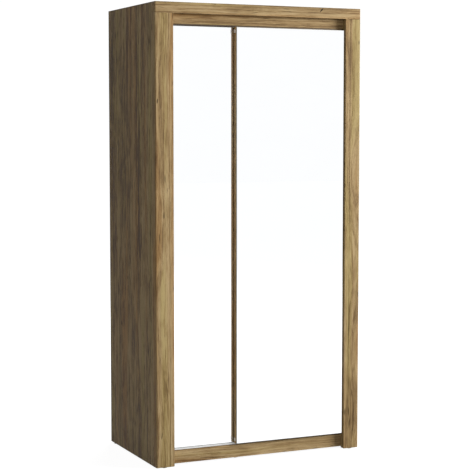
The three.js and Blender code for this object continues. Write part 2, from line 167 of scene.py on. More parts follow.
class WardrobeStudio(bpy.types.PropertyGroup):
    """Camera and lights."""

    camera_place: FloatVectorProperty(
        name="Camera place", description="Where the camera stands", size=3,
        default=(-2.783, -6.168, 1.546), unit="LENGTH", subtype="TRANSLATION",
    )
    camera_turn: FloatVectorProperty(
        name="Camera turn", description="Which way the camera looks", size=3,
        default=(math.radians(85.605), 0.0, math.radians(-24.358)), subtype="EULER",
    )
    lens: FloatProperty(name="Lens", description="Focal length in millimetres", default=107.8, min=20)
    key_power: FloatProperty(
        name="Key light", description="Power of the large light on the right", default=800,
        min=0, unit="POWER",
    )
    fill_power: FloatProperty(
        name="Fill light", description="Power of the light in front", default=95, min=0, unit="POWER"
    )
    back_power: FloatProperty(
        name="Back light", description="Power of the light behind", default=150, min=0, unit="POWER"
    )
    room: FloatProperty(
        name="Room light", description="Soft light from all round", default=0.07, min=0
    )


# ---- node trees ----------------------------------------------------------------------------


class Value:
    """A node's output that arithmetic can be written with; each sum adds its Math node."""

    def __init__(self, nodes, socket):
        self.nodes = nodes
        self.socket = socket

    def maths(self, operation, *values):
        return self.nodes.add("ShaderNodeMath", {"operation": operation}, values)[0]

    def __add__(self, other):
        return self.maths("ADD", self, other)

    def __radd__(self, other):
        return self.maths("ADD", other, self)

    def __sub__(self, other):
        return self.maths("SUBTRACT", self, other)

    def __rsub__(self, other):
        return self.maths("SUBTRACT", other, self)

    def __mul__(self, other):
        return self.maths("MULTIPLY", self, other)

    def __rmul__(self, other):
        return self.maths("MULTIPLY", other, self)

    def __truediv__(self, other):
        return self.maths("DIVIDE", self, other)

    def __pow__(self, other):
        return self.maths("POWER", self, other)

    def most(self, other):
        return self.maths("MAXIMUM", self, other)

    def vector(self, operation, other):
        settings = {"operation": operation}
        return self.nodes.add("ShaderNodeVectorMath", settings, (self, other))["Vector"]

    def size(self):
        return self.nodes.add("ShaderNodeVectorMath", {"operation": "LENGTH"}, (self,))["Value"]

    def between(self, low, high):
        """0 at low, 1 at high, eased in between."""
        settings = {"interpolation_type": "SMOOTHSTEP", "clamp": True}
        limits = {"Value": self, "From Min": low, "From Max": high}
        return self.nodes.add("ShaderNodeMapRange", settings, limits)[0]


class Outputs:
    """The outputs of a node, by name or place."""

    def __init__(self, nodes, node):
        self.nodes = nodes
        self.node = node

    def __getitem__(self, key):
        return Value(self.nodes, self.node.outputs[key])


class Nodes:
    """Adds nodes to one tree."""

    def __init__(self, tree):
        self.tree = tree

    def add(self, kind, settings=None, inputs=()):
        """A new node: its settings first, then the values or links of its sockets."""
        node = self.tree.nodes.new(kind)
        for name, value in (settings or {}).items():
            if name == "stops":
                self.set_stops(node.color_ramp, value)
            else:
                setattr(node, name, value)
        pairs = inputs.items() if isinstance(inputs, dict) else enumerate(inputs)
        for key, value in pairs:
            self.feed(node.inputs[key], value)
        return Outputs(self, node)

    def feed(self, socket, value):
        if isinstance(value, Value):
            self.tree.links.new(value.socket, socket)
            return
        if socket.type == "RGBA" and len(value) == 3:
            value = (*value, 1.0)
        if socket.type == "VECTOR" and isinstance(value, (int, float)):
            value = (value, value, value)
        socket.default_value = value

    def set_stops(self, ramp, stops):
        while len(ramp.elements) < len(stops):
            ramp.elements.new(0.5)
        for element, (place, tone) in zip(ramp.elements, stops):
            element.position = place
            element.color = (*tone, 1.0)


class Finish(Nodes):
    """A material, with short ways to the nodes that finishes are made of."""

    def __init__(self, name):
        self.material = bpy.data.materials.new(name)
        self.material.use_nodes = True
        super().__init__(self.material.node_tree)
        self.tree.nodes.clear()

    def place(self, turn=(0, 0, 0), shift=(0, 0, 0)):
        here = self.add("ShaderNodeTexCoord")["Object"]
        return self.mapped(here, (1, 1, 1), turn, shift)

    def mapped(self, vector, scale=(1, 1, 1), turn=(0, 0, 0), shift=(0, 0, 0)):
        inputs = {"Vector": vector, "Location": shift, "Rotation": turn, "Scale": scale}
        return self.add("ShaderNodeMapping", {"vector_type": "POINT"}, inputs)["Vector"]

    def noise(self, vector, scale, detail=2.0, roughness=0.5, distortion=0.0):
        inputs = {
            "Vector": vector, "Scale": scale, "Detail": detail,
            "Roughness": roughness, "Distortion": distortion,
        }
        return self.add("ShaderNodeTexNoise", None, inputs)[0]

    def cells(self, vector, scale):
        inputs = {"Vector": vector, "Scale": scale}
        return self.add("ShaderNodeTexVoronoi", {"feature": "F1"}, inputs)

    def mix(self, share, first, second, blend="MIX"):
        settings = {"data_type": "RGBA", "blend_type": blend, "clamp_factor": True}
        return self.add("ShaderNodeMix", settings, {0: share, 6: first, 7: second})[2]

    def ramp(self, value, stops):
        return self.add("ShaderNodeValToRGB", {"stops": stops}, (value,))[0]

    def bump(self, height, depth, strength=1.0):
        inputs = {"Height": height, "Distance": depth, "Strength": strength}
        return self.add("ShaderNodeBump", None, inputs)[0]

    def surface(self, **sockets):
        """Ends the material in a Principled shader; underscores stand for spaces."""
        inputs = {name.replace("_", " "): value for name, value in sockets.items()}
        shader = self.add("ShaderNodeBsdfPrincipled", None, inputs)[0]
        self.add("ShaderNodeOutputMaterial", None, {"Surface": shader})
        return self.material


def shade(plain, factor):
    """A colour made lighter or darker, and never brighter than white."""
    return tuple(min(1.0, part * factor) for part in plain)


def colour_of(name, factor=1.0):
    """One of the panel's colours, lighter or darker by the factor."""
    return shade(getattr(bpy.context.scene.wardrobe_colours, name), factor)


FINISHES = {}


def finish(name, maker, *settings, **options):
    """The finish of that name, made when it is first asked for."""
    if name not in FINISHES:
        FINISHES[name] = maker(name, *settings, **options)
    return FINISHES[name]


# ---- wood ----------------------------------------------------------------------------------

# Turns that lay the pattern's own Z along a board's grain.
GRAIN_TURNS = {"up": (0, 0, 0), "across": (0, math.pi / 2, 0)}


def knots_in(node, seed, count, half_across, half_along, grain="up"):
    """Knots and short splits scattered over a board by a seeded draw.

    Each is a place along the board's broad side and a height, in metres, then half its width and
    half its height, its lean in degrees, and how dark it is.
    """
    draw = random.Random(seed)
    low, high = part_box(node)
    broad = DEEP if high.y - low.y > high.x - low.x else ACROSS
    knots = []
    for _ in range(count):
        flat = draw.uniform(low[broad] + half_across, high[broad] - half_across)
        height = draw.uniform(low.z + half_across, high.z - half_across)
        across = half_across * draw.uniform(0.7, 1.3)
        along = half_along * draw.uniform(0.6, 1.6)
        size = (across, along) if grain == "up" else (along, across)
        knots.append((flat, height, *size, draw.uniform(-8, 8), draw.uniform(0.5, 0.9)))
    return knots


def rail_notch(node):
    """The dark notch at the top rail's upper edge, a fifth of its length from the right end."""
    low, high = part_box(node)
    return (high.x - (high.x - low.x) / 5, high.z - 0.012, 0.004, 0.016, 40, 1.0)


def marks_on(f, marks, faces_side, ragged):
    """Where the knots and cracks are, from 0 to 1."""
    here = f.add("ShaderNodeTexCoord")["Object"]
    wide = 10.0  # the marks go right through the board
    total = None
    for flat, height, half_width, half_height, lean, dark in marks:
        tilt = math.radians(lean)
        if faces_side:
            place, turn, scale = (0, flat, height), (tilt, 0, 0), (wide, half_width, half_height)
        else:
            place, turn, scale = (flat, 0, height), (0, tilt, 0), (half_width, wide, half_height)
        inputs = {"Vector": here, "Location": place, "Rotation": turn, "Scale": scale}
        near = f.add("ShaderNodeMapping", {"vector_type": "TEXTURE"}, inputs)["Vector"]
        mark = (near.size() + ragged).between(1.15, 0.35) * dark
        total = mark if total is None else total.most(mark)
    return total


def oak(name, grain, shift, marks=(), faces_side=False, contrast=1.0, light=0.0, patches=0.6,
        dark_edges=None):
    """Aged oak: ring pattern, tone bands, fibres, open pores, and a few knots and cracks; light shifts
    the whole tone, and dark_edges paints shade along a board's edges.
    """
    f = Finish(name)
    wood = f.place(turn=GRAIN_TURNS[grain], shift=shift)

    # Slow wander of the grain, so that rings open into flames.
    slow = f.noise(f.mapped(wood, (5, 5, 1.3)), 1.0, 2.0)
    drift = f.add("ShaderNodeCombineXYZ", None, ((slow - 0.5) * 0.075, (slow - 0.5) * -0.05, 0.0))[0]
    bent = wood.vector("ADD", drift)
    quick_bend = f.noise(f.mapped(wood, (34, 34, 7)), 1.0, 3.0, 0.6)
    parts = f.add("ShaderNodeSeparateXYZ", None, (bent,))
    from_pith = (parts[0] * parts[0] + parts[1] * parts[1]) ** 0.5 + (quick_bend - 0.5) * 0.010
    rings = f.add("ShaderNodeMath", {"operation": "FRACT"}, (from_pith * 78.0,))[0]
    late = rings.between(0.15, 0.92) * (1 - rings.between(0.93, 1.0))

    bands = f.noise(f.mapped(bent, (18, 18, 0.6)), 1.0, 3.0, 0.55)
    streaks = f.noise(f.mapped(bent, (150, 150, 3.2)), 1.0, 5.0, 0.65)
    fibres = f.noise(f.mapped(bent, (420, 420, 13)), 1.0, 3.0, 0.6)
    mottle = f.noise(f.mapped(bent, (38, 38, 9)), 1.0, 4.0, 0.7, 0.8)
    blotch = f.noise(f.mapped(bent, (13, 13, 4.5)), 1.0, 4.0, 0.6, 0.5)
    # light lifts or lowers the board's whole tone; some boards use it for painted light and shade.
    tone = (
        0.60 + light
        + (bands - 0.5) * (1.1 * contrast)
        + (streaks - 0.5) * (1.15 * contrast)
        + (fibres - 0.5) * (0.8 * contrast)
        + (mottle - 0.5) * (patches * contrast)
        + (blotch - 0.5) * (patches * contrast)
        - (late - 0.35) * (0.16 * contrast)
    )
    stops = (
        (0.05, colour_of("oak_dark")), (0.36, colour_of("oak_brown")),
        (0.60, colour_of("oak_middle")), (0.92, colour_of("oak_pale")),
    )
    wood_colour = f.ramp(tone, stops)

    # Some bands lean to red brown, others to olive.
    warmth = f.noise(f.mapped(bent, (17, 17, 0.55), shift=(3.1, 1.7, 0.4)), 1.0, 2.0)
    wood_colour = f.mix(warmth.between(0.50, 0.66) * 0.8, wood_colour, (1.0, 0.82, 0.64), "MULTIPLY")
    wood_colour = f.mix(warmth.between(0.48, 0.32) * 0.8, wood_colour, (0.93, 0.99, 0.80), "MULTIPLY")

    # Open pores run as short dark dashes, closest together in the late wood.
    pore_field = f.noise(f.mapped(bent, (1150, 1150, 42)), 1.0, 1.0)
    pores = pore_field.between(0.585, 0.70) * (0.35 + late * 0.65)
    wood_colour = f.mix(pores * 0.62, wood_colour, colour_of("oak_dark"))

    # Checks: fine splits that follow the grain.
    split_field = f.noise(f.mapped(bent, (150, 150, 3.4), shift=(0.7, 2.9, 1.3)), 1.0, 2.0, 0.7)
    splits = split_field.between(0.675, 0.74)
    dark = splits * 0.75
    if marks:
        ragged = (mottle - 0.5) * 1.1
        dark = dark.most(marks_on(f, marks, faces_side, ragged))
    if dark_edges:
        # Painted shade: the board is darkened along its top edge, and a side panel along its rear edge
        # too.
        here = f.add("ShaderNodeSeparateXYZ", None, (f.place(),))
        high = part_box(dark_edges)[1]
        top_edge_shade = here[2].between(high.z - 0.006, high.z - 0.001)
        dark = dark.most(top_edge_shade * 0.6)
        if faces_side:
            dark = dark.most(here[1].between(high.y - 0.012, high.y - 0.006) * 0.6)
    # Knots, cracks and the painted edge shade all take the knot colour.
    wood_colour = f.mix(dark, wood_colour, colour_of("oak_knot"))

    relief = fibres * 0.45 + streaks * 0.2 - pores * 0.8 - dark * 1.4
    return f.surface(
        Base_Color=wood_colour,
        Roughness=0.56 + (fibres - 0.5) * 0.22 + pores * 0.12 + dark * 0.15,
        Normal=f.bump(relief, 0.00045, 0.7),
        Specular_IOR_Level=0.09,
    )


def inside_board(name, grain, shift):
    """Plain decor of the inner boards: a quiet printed grain under a fine embossing."""
    f = Finish(name)
    wood = f.place(turn=GRAIN_TURNS[grain], shift=shift)
    drift = f.noise(f.mapped(wood, (4, 4, 1.0)), 1.0, 2.0)
    move = f.add("ShaderNodeCombineXYZ", None, ((drift - 0.5) * 0.05, 0.0, 0.0))[0]
    bent = wood.vector("ADD", move)
    bands = f.noise(f.mapped(bent, (16, 16, 0.6)), 1.0, 3.0)
    lines = f.noise(f.mapped(bent, (240, 240, 4)), 1.0, 4.0, 0.6)
    ticks = f.noise(f.mapped(bent, (1300, 1300, 60)), 1.0, 1.0)
    plain = colour_of("inside")
    brown = tuple(c * t for c, t in zip(plain, (0.62, 0.58, 0.52)))
    pale = shade(plain, 1.22)
    base = f.ramp((bands - 0.5) * 0.7 + (lines - 0.5) * 0.8 + 0.5, (
        (0.15, brown), (0.5, plain), (0.85, pale),
    ))
    base = f.mix(ticks.between(0.62, 0.74) * 0.4, base, brown)
    return f.surface(
        Base_Color=base,
        Roughness=0.5 + (lines - 0.5) * 0.2,
        Normal=f.bump(lines * 0.5 - ticks.between(0.6, 0.75), 0.00025, 0.55),
        Specular_IOR_Level=0.2,
    )


def chipboard(name):
    """Raw chipboard: packed flakes of mixed size and tone."""
    f = Finish(name)
    here = f.place()
    flakes = f.cells(here, 720.0)
    chips = f.cells(f.mapped(here, (1, 1, 1), (0.4, 0.9, 0.2)), 300.0)
    dust = f.noise(here, 2400.0, 2.0)
    plain = colour_of("chipboard")
    dark = shade(plain, 0.45)
    pale = shade(plain, 1.5)
    grey = f.add("ShaderNodeSeparateColor", None, (flakes["Color"],))[0]
    large = f.add("ShaderNodeSeparateColor", None, (chips["Color"],))[1]
    base = f.ramp(grey * 0.6 + large * 0.4, ((0.0, dark), (0.45, plain), (1.0, pale)))
    height = flakes["Distance"] * -400.0 + dust * 0.5
    return f.surface(
        Base_Color=f.mix(dust.between(0.6, 0.75) * 0.6, base, dark),
        Roughness=0.86 - dust * 0.1,
        Normal=f.bump(height, 0.0004, 0.7),
        Specular_IOR_Level=0.25,
    )


def hardboard(name):
    """Brown hardboard: matted fibres, with the press's fine mesh in its rough side."""
    f = Finish(name)
    here = f.place()
    cloud = f.noise(here, 5.0, 4.0, 0.6)
    fibres = f.noise(f.mapped(here, (90, 90, 320), (0, 0.5, 0)), 1.0, 3.0, 0.65)
    cross = f.noise(f.mapped(here, (330, 90, 80), (0, -0.6, 0)), 1.0, 3.0, 0.65)
    specks = f.noise(here, 900.0, 1.0)
    plain = colour_of("hardboard")
    dark = shade(plain, 0.6)
    pale = shade(plain, 1.4)
    value = 0.5 + (cloud - 0.5) * 0.6 + (fibres - 0.5) * 0.7 + (cross - 0.5) * 0.6
    base = f.ramp(value, ((0.2, dark), (0.5, plain), (0.85, pale)))
    base = f.mix(specks.between(0.66, 0.74) * 0.7, base, shade(plain, 0.35))
    mesh_lines = f.add("ShaderNodeTexWave", {"bands_direction": "X"}, (here, 260.0))[1]
    mesh_rows = f.add("ShaderNodeTexWave", {"bands_direction": "Z"}, (here, 260.0))[1]
    return f.surface(
        Base_Color=base,
        Roughness=0.82 + (fibres - 0.5) * 0.2,
        Normal=f.bump(mesh_lines * mesh_rows * 0.6 + fibres * 0.5, 0.0003, 0.6),
        Specular_IOR_Level=0.25,
    )


# ---- glass, metal and plastics -------------------------------------------------------------


def mirror_silver(name):
    """Silvered glass: almost perfect, with a breath of wiping marks in its gloss."""
    f = Finish(name)
    here = f.place()
    wipes = f.noise(f.mapped(here, (3, 3, 7), (0, 0.7, 0)), 1.0, 4.0, 0.6, 1.2)
    specks = f.noise(here, 160.0, 1.0).between(0.72, 0.78)
    silver = colour_of("silver")
    return f.surface(
        Base_Color=f.mix(wipes.between(0.35, 0.8) * 0.35 + specks * 0.1, silver,
                         shade(silver, 0.985)),
        Metallic=1.0,
        Roughness=0.008 + wipes.between(0.5, 0.8) * 0.012 + specks * 0.01,
    )


def ground_glass(name):
    """Ground edge of the mirror glass: milky grey green with fine wheel marks."""
    f = Finish(name)
    here = f.place()
    wheel = f.noise(f.mapped(here, (900, 900, 140)), 1.0, 3.0, 0.6)
    cloud = f.noise(here, 45.0, 2.0)
    edge = colour_of("glass_edge")
    return f.surface(
        Base_Color=f.mix(cloud, shade(edge, 0.82), shade(edge, 1.15)),
        Roughness=0.34 + wheel * 0.2,
        Normal=f.bump(wheel, 0.0001, 0.5),
        Coat_Weight=0.3,
    )


def mirror_back(name):
    """Grey safety paint on the mirror's back."""
    f = Finish(name)
    here = f.place()
    brushed = f.noise(f.mapped(here, (600, 600, 20)), 1.0, 3.0)
    return f.surface(
        Base_Color=f.mix(brushed, (0.20, 0.20, 0.21), (0.27, 0.27, 0.28)),
        Roughness=0.6 + brushed * 0.2,
        Normal=f.bump(brushed, 0.0001, 0.5),
    )


def plated_steel(name, tone, lines, dull=0.0):
    """Plated steel: drawn lines, a faint spangle, and duller patches from handling."""
    f = Finish(name)
    here = f.place()
    drawn = f.noise(f.mapped(here, lines), 1.0, 3.0, 0.6)
    spangle = f.cells(here, 260.0)["Color"]
    crystal = f.add("ShaderNodeSeparateColor", None, (spangle,))[0]
    handled = f.noise(here, 38.0, 4.0, 0.65)
    base = colour_of("steel", tone)
    colour_now = f.mix(crystal * 0.35, base, shade(base, 0.78))
    colour_now = f.mix(handled.between(0.55, 0.75) * 0.35, colour_now, shade(base, 0.62))
    return f.surface(
        Base_Color=colour_now,
        Metallic=1.0,
        Roughness=0.24 + dull + drawn * 0.14 + handled.between(0.5, 0.8) * 0.18,
        Normal=f.bump(drawn, 0.00006, 0.5),
    )


def anodised(name, plain, rubbed_tone):
    """Anodised rail: drawn lines along its length, rubbed where the wheels run."""
    f = Finish(name)
    here = f.place()
    drawn = f.noise(f.mapped(here, (5, 1500, 1500)), 1.0, 3.0, 0.6)
    height = f.add("ShaderNodeSeparateXYZ", None, (here,))[2]
    rubbed = height.between(RAIL_HIGH.z - 0.0006, RAIL_HIGH.z) * (1 - height.between(0.09, 0.1))
    patches = f.noise(f.mapped(here, (9, 60, 60)), 1.0, 3.0)
    worn = f.mix(patches.between(0.3, 0.7), plain, shade(plain, rubbed_tone))
    base = f.mix(drawn * 0.4, plain, shade(plain, 0.7))
    return f.surface(
        Base_Color=f.mix(rubbed * 0.8, base, worn),
        Metallic=0.85,
        Roughness=0.42 + (drawn - 0.5) * 0.16 - rubbed * 0.12,
        Normal=f.bump(drawn, 0.00005, 0.5),
    )


def moulded(name, plain, rough, grain_size, relief):
    """Moulded plastic or rubber: faint flow marks and a fine sparked texture."""
    f = Finish(name)
    here = f.place()
    flow = f.noise(f.mapped(here, (60, 60, 150)), 1.0, 3.0, 0.5, 0.6)
    sparks = f.noise(here, grain_size, 2.0)
    scuffs = f.noise(f.mapped(here, (700, 90, 90), (0, 0.5, 0.6)), 1.0, 2.0).between(0.64, 0.72)
    base = f.mix(flow, shade(plain, 0.86), shade(plain, 1.1))
    return f.surface(
        Base_Color=f.mix(scuffs * 0.4, base, shade(plain, 0.6)),
        Roughness=rough + (sparks - 0.5) * 0.25 + scuffs * 0.15,
        Normal=f.bump(sparks * 0.6 + scuffs * -0.5, relief, 0.6),
    )


def pressed_felt(name):
    """Pressed felt: tangled hairs in mixed tones."""
    f = Finish(name)
    here = f.place()
    hairs = f.noise(f.mapped(here, (300, 900, 2200), (0.5, 0.2, 0)), 1.0, 3.0, 0.7, 1.5)
    cross = f.noise(f.mapped(here, (2000, 400, 700), (0.9, 0.6, 0.3)), 1.0, 3.0, 0.7, 1.5)
    felt = colour_of("felt")
    dark = shade(felt, 0.6)
    pale = shade(felt, 1.35)
    return f.surface(
        Base_Color=f.ramp(hairs * 0.5 + cross * 0.5, ((0.3, dark), (0.5, felt), (0.7, pale))),
        Roughness=0.9 - cross * 0.08,
        Normal=f.bump(hairs + cross, 0.0006, 0.8),
        Sheen_Weight=0.4,
        Specular_IOR_Level=0.2,
    )


def nylon():
    return finish("Nylon", moulded, colour_of("nylon"), 0.42, 1800.0, 0.00008)


def rubber():
    return finish("Rubber", moulded, colour_of("rubber"), 0.78, 1400.0, 0.00012)


def cap_plastic():
    return finish("Brown caps", moulded, (0.20, 0.125, 0.062), 0.45, 1500.0, 0.00008)


def zinc():
    return finish("Zinc plated steel", plated_steel, 1.0, (50, 900, 900))


def core():
    return finish("Raw chipboard", chipboard)


# ---- making pieces -------------------------------------------------------------------------


def body_of(node):
    return frame["nodes"][node]["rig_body"]


def put(obj, body, replaced=()):
    """Hands a finished object to the frame."""
    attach(obj, body)
    if replaced:
        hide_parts(*replaced)


def in_scene(name, data):
    """A new object in the scene for a mesh, a light or a camera."""
    obj = bpy.data.objects.new(name, data)
    bpy.context.scene.collection.objects.link(obj)
    return obj


def to_object(bm, name, materials):
    """A mesh object at the origin, with its place in its mesh."""
    mesh = bpy.data.meshes.new(name)
    bm.to_mesh(mesh)
    bm.free()
    for material in materials:
        mesh.materials.append(material)
    return in_scene(name, mesh)


def copy_of(node):
    """The CAD node's shape with its loose triangles joined into whole faces."""
    bm = bmesh.new()
    bm.from_mesh(frame["nodes"][node].data)
    bmesh.ops.remove_doubles(bm, verts=bm.verts, dist=0.00001)
    bmesh.ops.dissolve_limit(
        bm, angle_limit=math.radians(0.5), verts=bm.verts, edges=bm.edges, use_dissolve_boundaries=False
    )
    for face in bm.faces:
        face.smooth = False
        face.material_index = 0
    return bm


def sharp_edges(bm, limit=40.0):
    found = []
    for edge in bm.edges:
        if len(edge.link_faces) == 2 and edge.calc_face_angle() > math.radians(limit):
            found.append(edge)
    return found


def soften(bm, width, segments=2, edges=None, smooth=True):
    """Rounds the sharp edges by the given width, or only the edges that are handed in."""
    chosen = sharp_edges(bm) if edges is None else edges
    made = bmesh.ops.bevel(
        bm, geom=chosen, offset=width, offset_type="OFFSET", segments=segments,
        profile=0.5, affect="EDGES", clamp_overlap=True,
    )
    for face in made["faces"]:
        face.smooth = smooth
    return made["faces"]


def roll(bm, angle, axis):
    """Turns a shape about an axis through the origin."""
    bmesh.ops.rotate(bm, cent=(0, 0, 0), matrix=Matrix.Rotation(angle, 3, axis), verts=bm.verts)


def add_shape(bm, other):
    """Adds another shape to bm, and frees the other."""
    mesh = bpy.data.meshes.new("added")
    other.to_mesh(mesh)
    other.free()
    bm.from_mesh(mesh)
    bpy.data.meshes.remove(mesh)


def box_mesh(low, high):
    bm = bmesh.new()
    bmesh.ops.create_cube(bm, size=1.0)
    centre = (Vector(low) + Vector(high)) / 2
    span = Vector(high) - Vector(low)
    bmesh.ops.scale(bm, vec=span, verts=bm.verts)
    bmesh.ops.translate(bm, vec=centre, verts=bm.verts)
    return bm


def extrude_loop(bm, points, direction):
    """A closed solid from an outline and the way it is pushed."""
    base = bm.faces.new([bm.verts.new(p) for p in points])
    made = bmesh.ops.extrude_face_region(bm, geom=[base], use_keep_orig=True)
    tops = [v for v in made["geom"] if isinstance(v, bmesh.types.BMVert)]
    bmesh.ops.translate(bm, vec=direction, verts=tops)
    bmesh.ops.recalc_face_normals(bm, faces=bm.faces)


def arc(centre, radius, start, end, steps):
    """Points on an arc, in degrees."""
    for n in range(steps + 1):
        angle = math.radians(start + (end - start) * n / steps)
        yield centre[0] + radius * math.cos(angle), centre[1] + radius * math.sin(angle)


def banded_board(node, decor, bands):
    """A board with its edge bands: the faces and bands in decor, other edges raw.

    bands lists the banded edges as (axis, -1 or 1). Each band ends in a fine seam.
    """
    sizes = bpy.context.scene.wardrobe_sizes
    low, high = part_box(node)
    span = high - low
    thin = min(range(3), key=lambda axis: span[axis])
    bm = box_mesh(low, high)
    for axis, end in bands:
        cut = high[axis] - sizes.band if end > 0 else low[axis] + sizes.band
        where = [0.0, 0.0, 0.0]
        where[axis] = cut
        normal = [0.0, 0.0, 0.0]
        normal[axis] = 1.0
        everything = list(bm.verts) + list(bm.edges) + list(bm.faces)
        bmesh.ops.bisect_plane(bm, geom=everything, plane_co=where, plane_no=normal)
    for face in bm.faces:
        face.material_index = 0 if edge_is_covered(face, low, high, thin, bands, sizes.band) else 1
    soften(bm, sizes.arris)
    return to_object(bm, f"{node}_board", [decor, core()])


def edge_is_covered(face, low, high, thin, bands, thickness):
    """Whether a face of a board shows decor, and not raw board."""
    if abs(face.normal[thin]) > 0.5:
        return True
    middle = face.calc_center_median()
    for axis, end in bands:
        edge = high[axis] if end > 0 else low[axis]
        if abs(middle[axis] - edge) < thickness:
            return True
    return False


def turned(bm, profile, centre, steps):
    """A turned solid on an axis along Y; the profile is (radius, distance along) pairs."""
    rings = []
    for radius, along in profile:
        if radius < 1e-7:
            rings.append([bm.verts.new((centre[0], centre[1] + along, centre[2]))])
            continue
        ring = []
        for n in range(steps):
            angle = 2 * math.pi * n / steps
            x = centre[0] + radius * math.cos(angle)
            z = centre[2] + radius * math.sin(angle)
            ring.append(bm.verts.new((x, centre[1] + along, z)))
        rings.append(ring)
    pairs = list(zip(rings, rings[1:] + rings[:1]))
    closed = len(rings[0]) > 1
    for first, second in pairs if closed else pairs[:-1]:
        for n in range(steps):
            m = (n + 1) % steps
            corners = [first[n % len(first)], second[n % len(second)]]
            corners += [second[m % len(second)], first[m % len(first)]]
            face = bm.faces.new(list(dict.fromkeys(corners)))
            face.smooth = True
    bmesh.ops.recalc_face_normals(bm, faces=bm.faces)


def crease(bm, limit=32.0):
    """Keeps the corners of smoothly shaded turned work crisp."""
    for edge in sharp_edges(bm, limit):
        edge.smooth = False


# ---- geometry node trees -------------------------------------------------------------------


class Maker(Nodes):
    """A Geometry Nodes tree with named inputs."""

    def __init__(self, name):
        super().__init__(bpy.data.node_groups.new(name, "GeometryNodeTree"))
        self.tree.is_modifier = True
        self.keys = {}
        self.values = {}
        self.tree.interface.new_socket("Geometry", in_out="INPUT", socket_type="NodeSocketGeometry")
        self.tree.interface.new_socket("Geometry", in_out="OUTPUT", socket_type="NodeSocketGeometry")
        self.entry = None

    def inputs(self, **kinds):
        """Named inputs and their values: a number, vector, whole number, object or material."""
        for name, value in kinds.items():
            title = name.replace("_", " ").capitalize()
            kind = "NodeSocketFloat"
            if isinstance(value, bpy.types.Material):
                kind = "NodeSocketMaterial"
            elif isinstance(value, bpy.types.Object):
                kind = "NodeSocketObject"
            elif isinstance(value, (tuple, Vector)):
                kind = "NodeSocketVector"
            elif isinstance(value, int):
                kind = "NodeSocketInt"
            socket = self.tree.interface.new_socket(title, in_out="INPUT", socket_type=kind)
            self.keys[name] = socket.identifier
            self.values[name] = value
        self.entry = self.add("NodeGroupInput")

    def __getitem__(self, name):
        return self.entry[name.replace("_", " ").capitalize()]

    def base(self):
        return self.entry["Geometry"]

    def end(self, geometry, material, selection=True):
        """Realize Instances and Set Material, then the output."""
        real = self.add("GeometryNodeRealizeInstances", None, {"Geometry": geometry})[0]
        inputs = {"Geometry": real, "Selection": selection, "Material": material}
        done = self.add("GeometryNodeSetMaterial", None, inputs)[0]
        self.add("NodeGroupOutput", None, (done,))

    def run(self, start, name):
        """Runs the tree on an object and returns a plain mesh object."""
        modifier = start.modifiers.new("Maker", "NODES")
        modifier.node_group = self.tree
        for key, identifier in self.keys.items():
            value = self.values[key]
            if isinstance(value, (tuple, Vector)):
                value = [float(part) for part in value]
            modifier[identifier] = value
        graph = bpy.context.evaluated_depsgraph_get()
        mesh = bpy.data.meshes.new_from_object(
            start.evaluated_get(graph), preserve_all_data_layers=True, depsgraph=graph
        )
        start.modifiers.remove(modifier)
        mesh.name = name
        bpy.data.objects.remove(start)
        return in_scene(name, mesh)


def points_object(places):
    """Loose points, each with the way that its fastener faces."""
    mesh = bpy.data.meshes.new("places")
    mesh.from_pydata([tuple(place) for place, _ in places], [], [])
    facing = mesh.attributes.new("facing", "FLOAT_VECTOR", "POINT")
    for n, (_, way) in enumerate(places):
        facing.data[n].vector = way
    return in_scene("places", mesh)


def fastened(name, head, places, width, material, spin):
    """One mesh of like fasteners: the head set on every place and turned at random."""
    maker = Maker(f"{name} maker")
    maker.inputs(head=head, head_width=width, spin_seed=spin, finish=material)
    facing = maker.add(
        "GeometryNodeInputNamedAttribute", {"data_type": "FLOAT_VECTOR"}, {"Name": "facing"}
    )[0]
    aim = maker.add("FunctionNodeAlignRotationToVector", {"axis": "Z"}, {"Vector": facing})[0]
    angle = maker.add("FunctionNodeRandomValue", {"data_type": "FLOAT"}, {
        2: 0.0, 3: 2 * math.pi, "Seed": maker["spin_seed"],
    })[1]
    turn = maker.add("FunctionNodeAxisAngleToRotation", None, {"Axis": (0, 0, 1), "Angle": angle})[0]
    set_way = maker.add("FunctionNodeRotateRotation", {"rotation_space": "LOCAL"}, {
        "Rotation": aim, "Rotate By": turn,
    })[0]
    shape = maker.add("GeometryNodeObjectInfo", None, {"Object": maker["head"]})["Geometry"]
    scale = maker.add("ShaderNodeCombineXYZ", None, (maker["head_width"],) * 3)[0]
    placed = maker.add("GeometryNodeInstanceOnPoints", None, {
        "Points": maker.base(), "Instance": shape, "Rotation": set_way, "Scale": scale,
    })[0]
    maker.end(placed, maker["finish"])
    return maker.run(points_object(places), name)


def screw_head(flat):
    """A cross-slot screw head, one unit wide; flat for a countersunk one."""
    bm = bmesh.new()
    rise = 0.06 if flat else 0.30
    profile = [(0.0, -0.10), (0.40, -0.10), (0.50, 0.0), (0.485, rise * 0.45)]
    profile += [(0.40, rise * 0.85), (0.26, rise), (0.0, rise)]
    turned(bm, profile, (0, 0, 0), steps=20)
    roll(bm, math.pi / 2, "X")
    crease(bm)
    head = to_object(bm, "head", [])
    slot = bmesh.new()
    for turn in (0.0, math.pi / 2):
        arm = box_mesh((-0.27, -0.055, rise - 0.16), (0.27, 0.055, rise + 0.2))
        roll(arm, turn, "Z")
        add_shape(slot, arm)
    return cut_away(head, to_object(slot, "cross", []), "screw_head")


def cut_away(obj, cutter, name):
    """The object less the cutter, as a plain mesh."""
    modifier = obj.modifiers.new("Cut", "BOOLEAN")
    modifier.operation = "DIFFERENCE"
    modifier.solver = "EXACT"
    modifier.use_self = True
    modifier.object = cutter
    graph = bpy.context.evaluated_depsgraph_get()
    mesh = bpy.data.meshes.new_from_object(obj.evaluated_get(graph), depsgraph=graph)
    mesh.name = name
    for spent in (obj, cutter):
        bpy.data.objects.remove(spent)
    return in_scene(name, mesh)


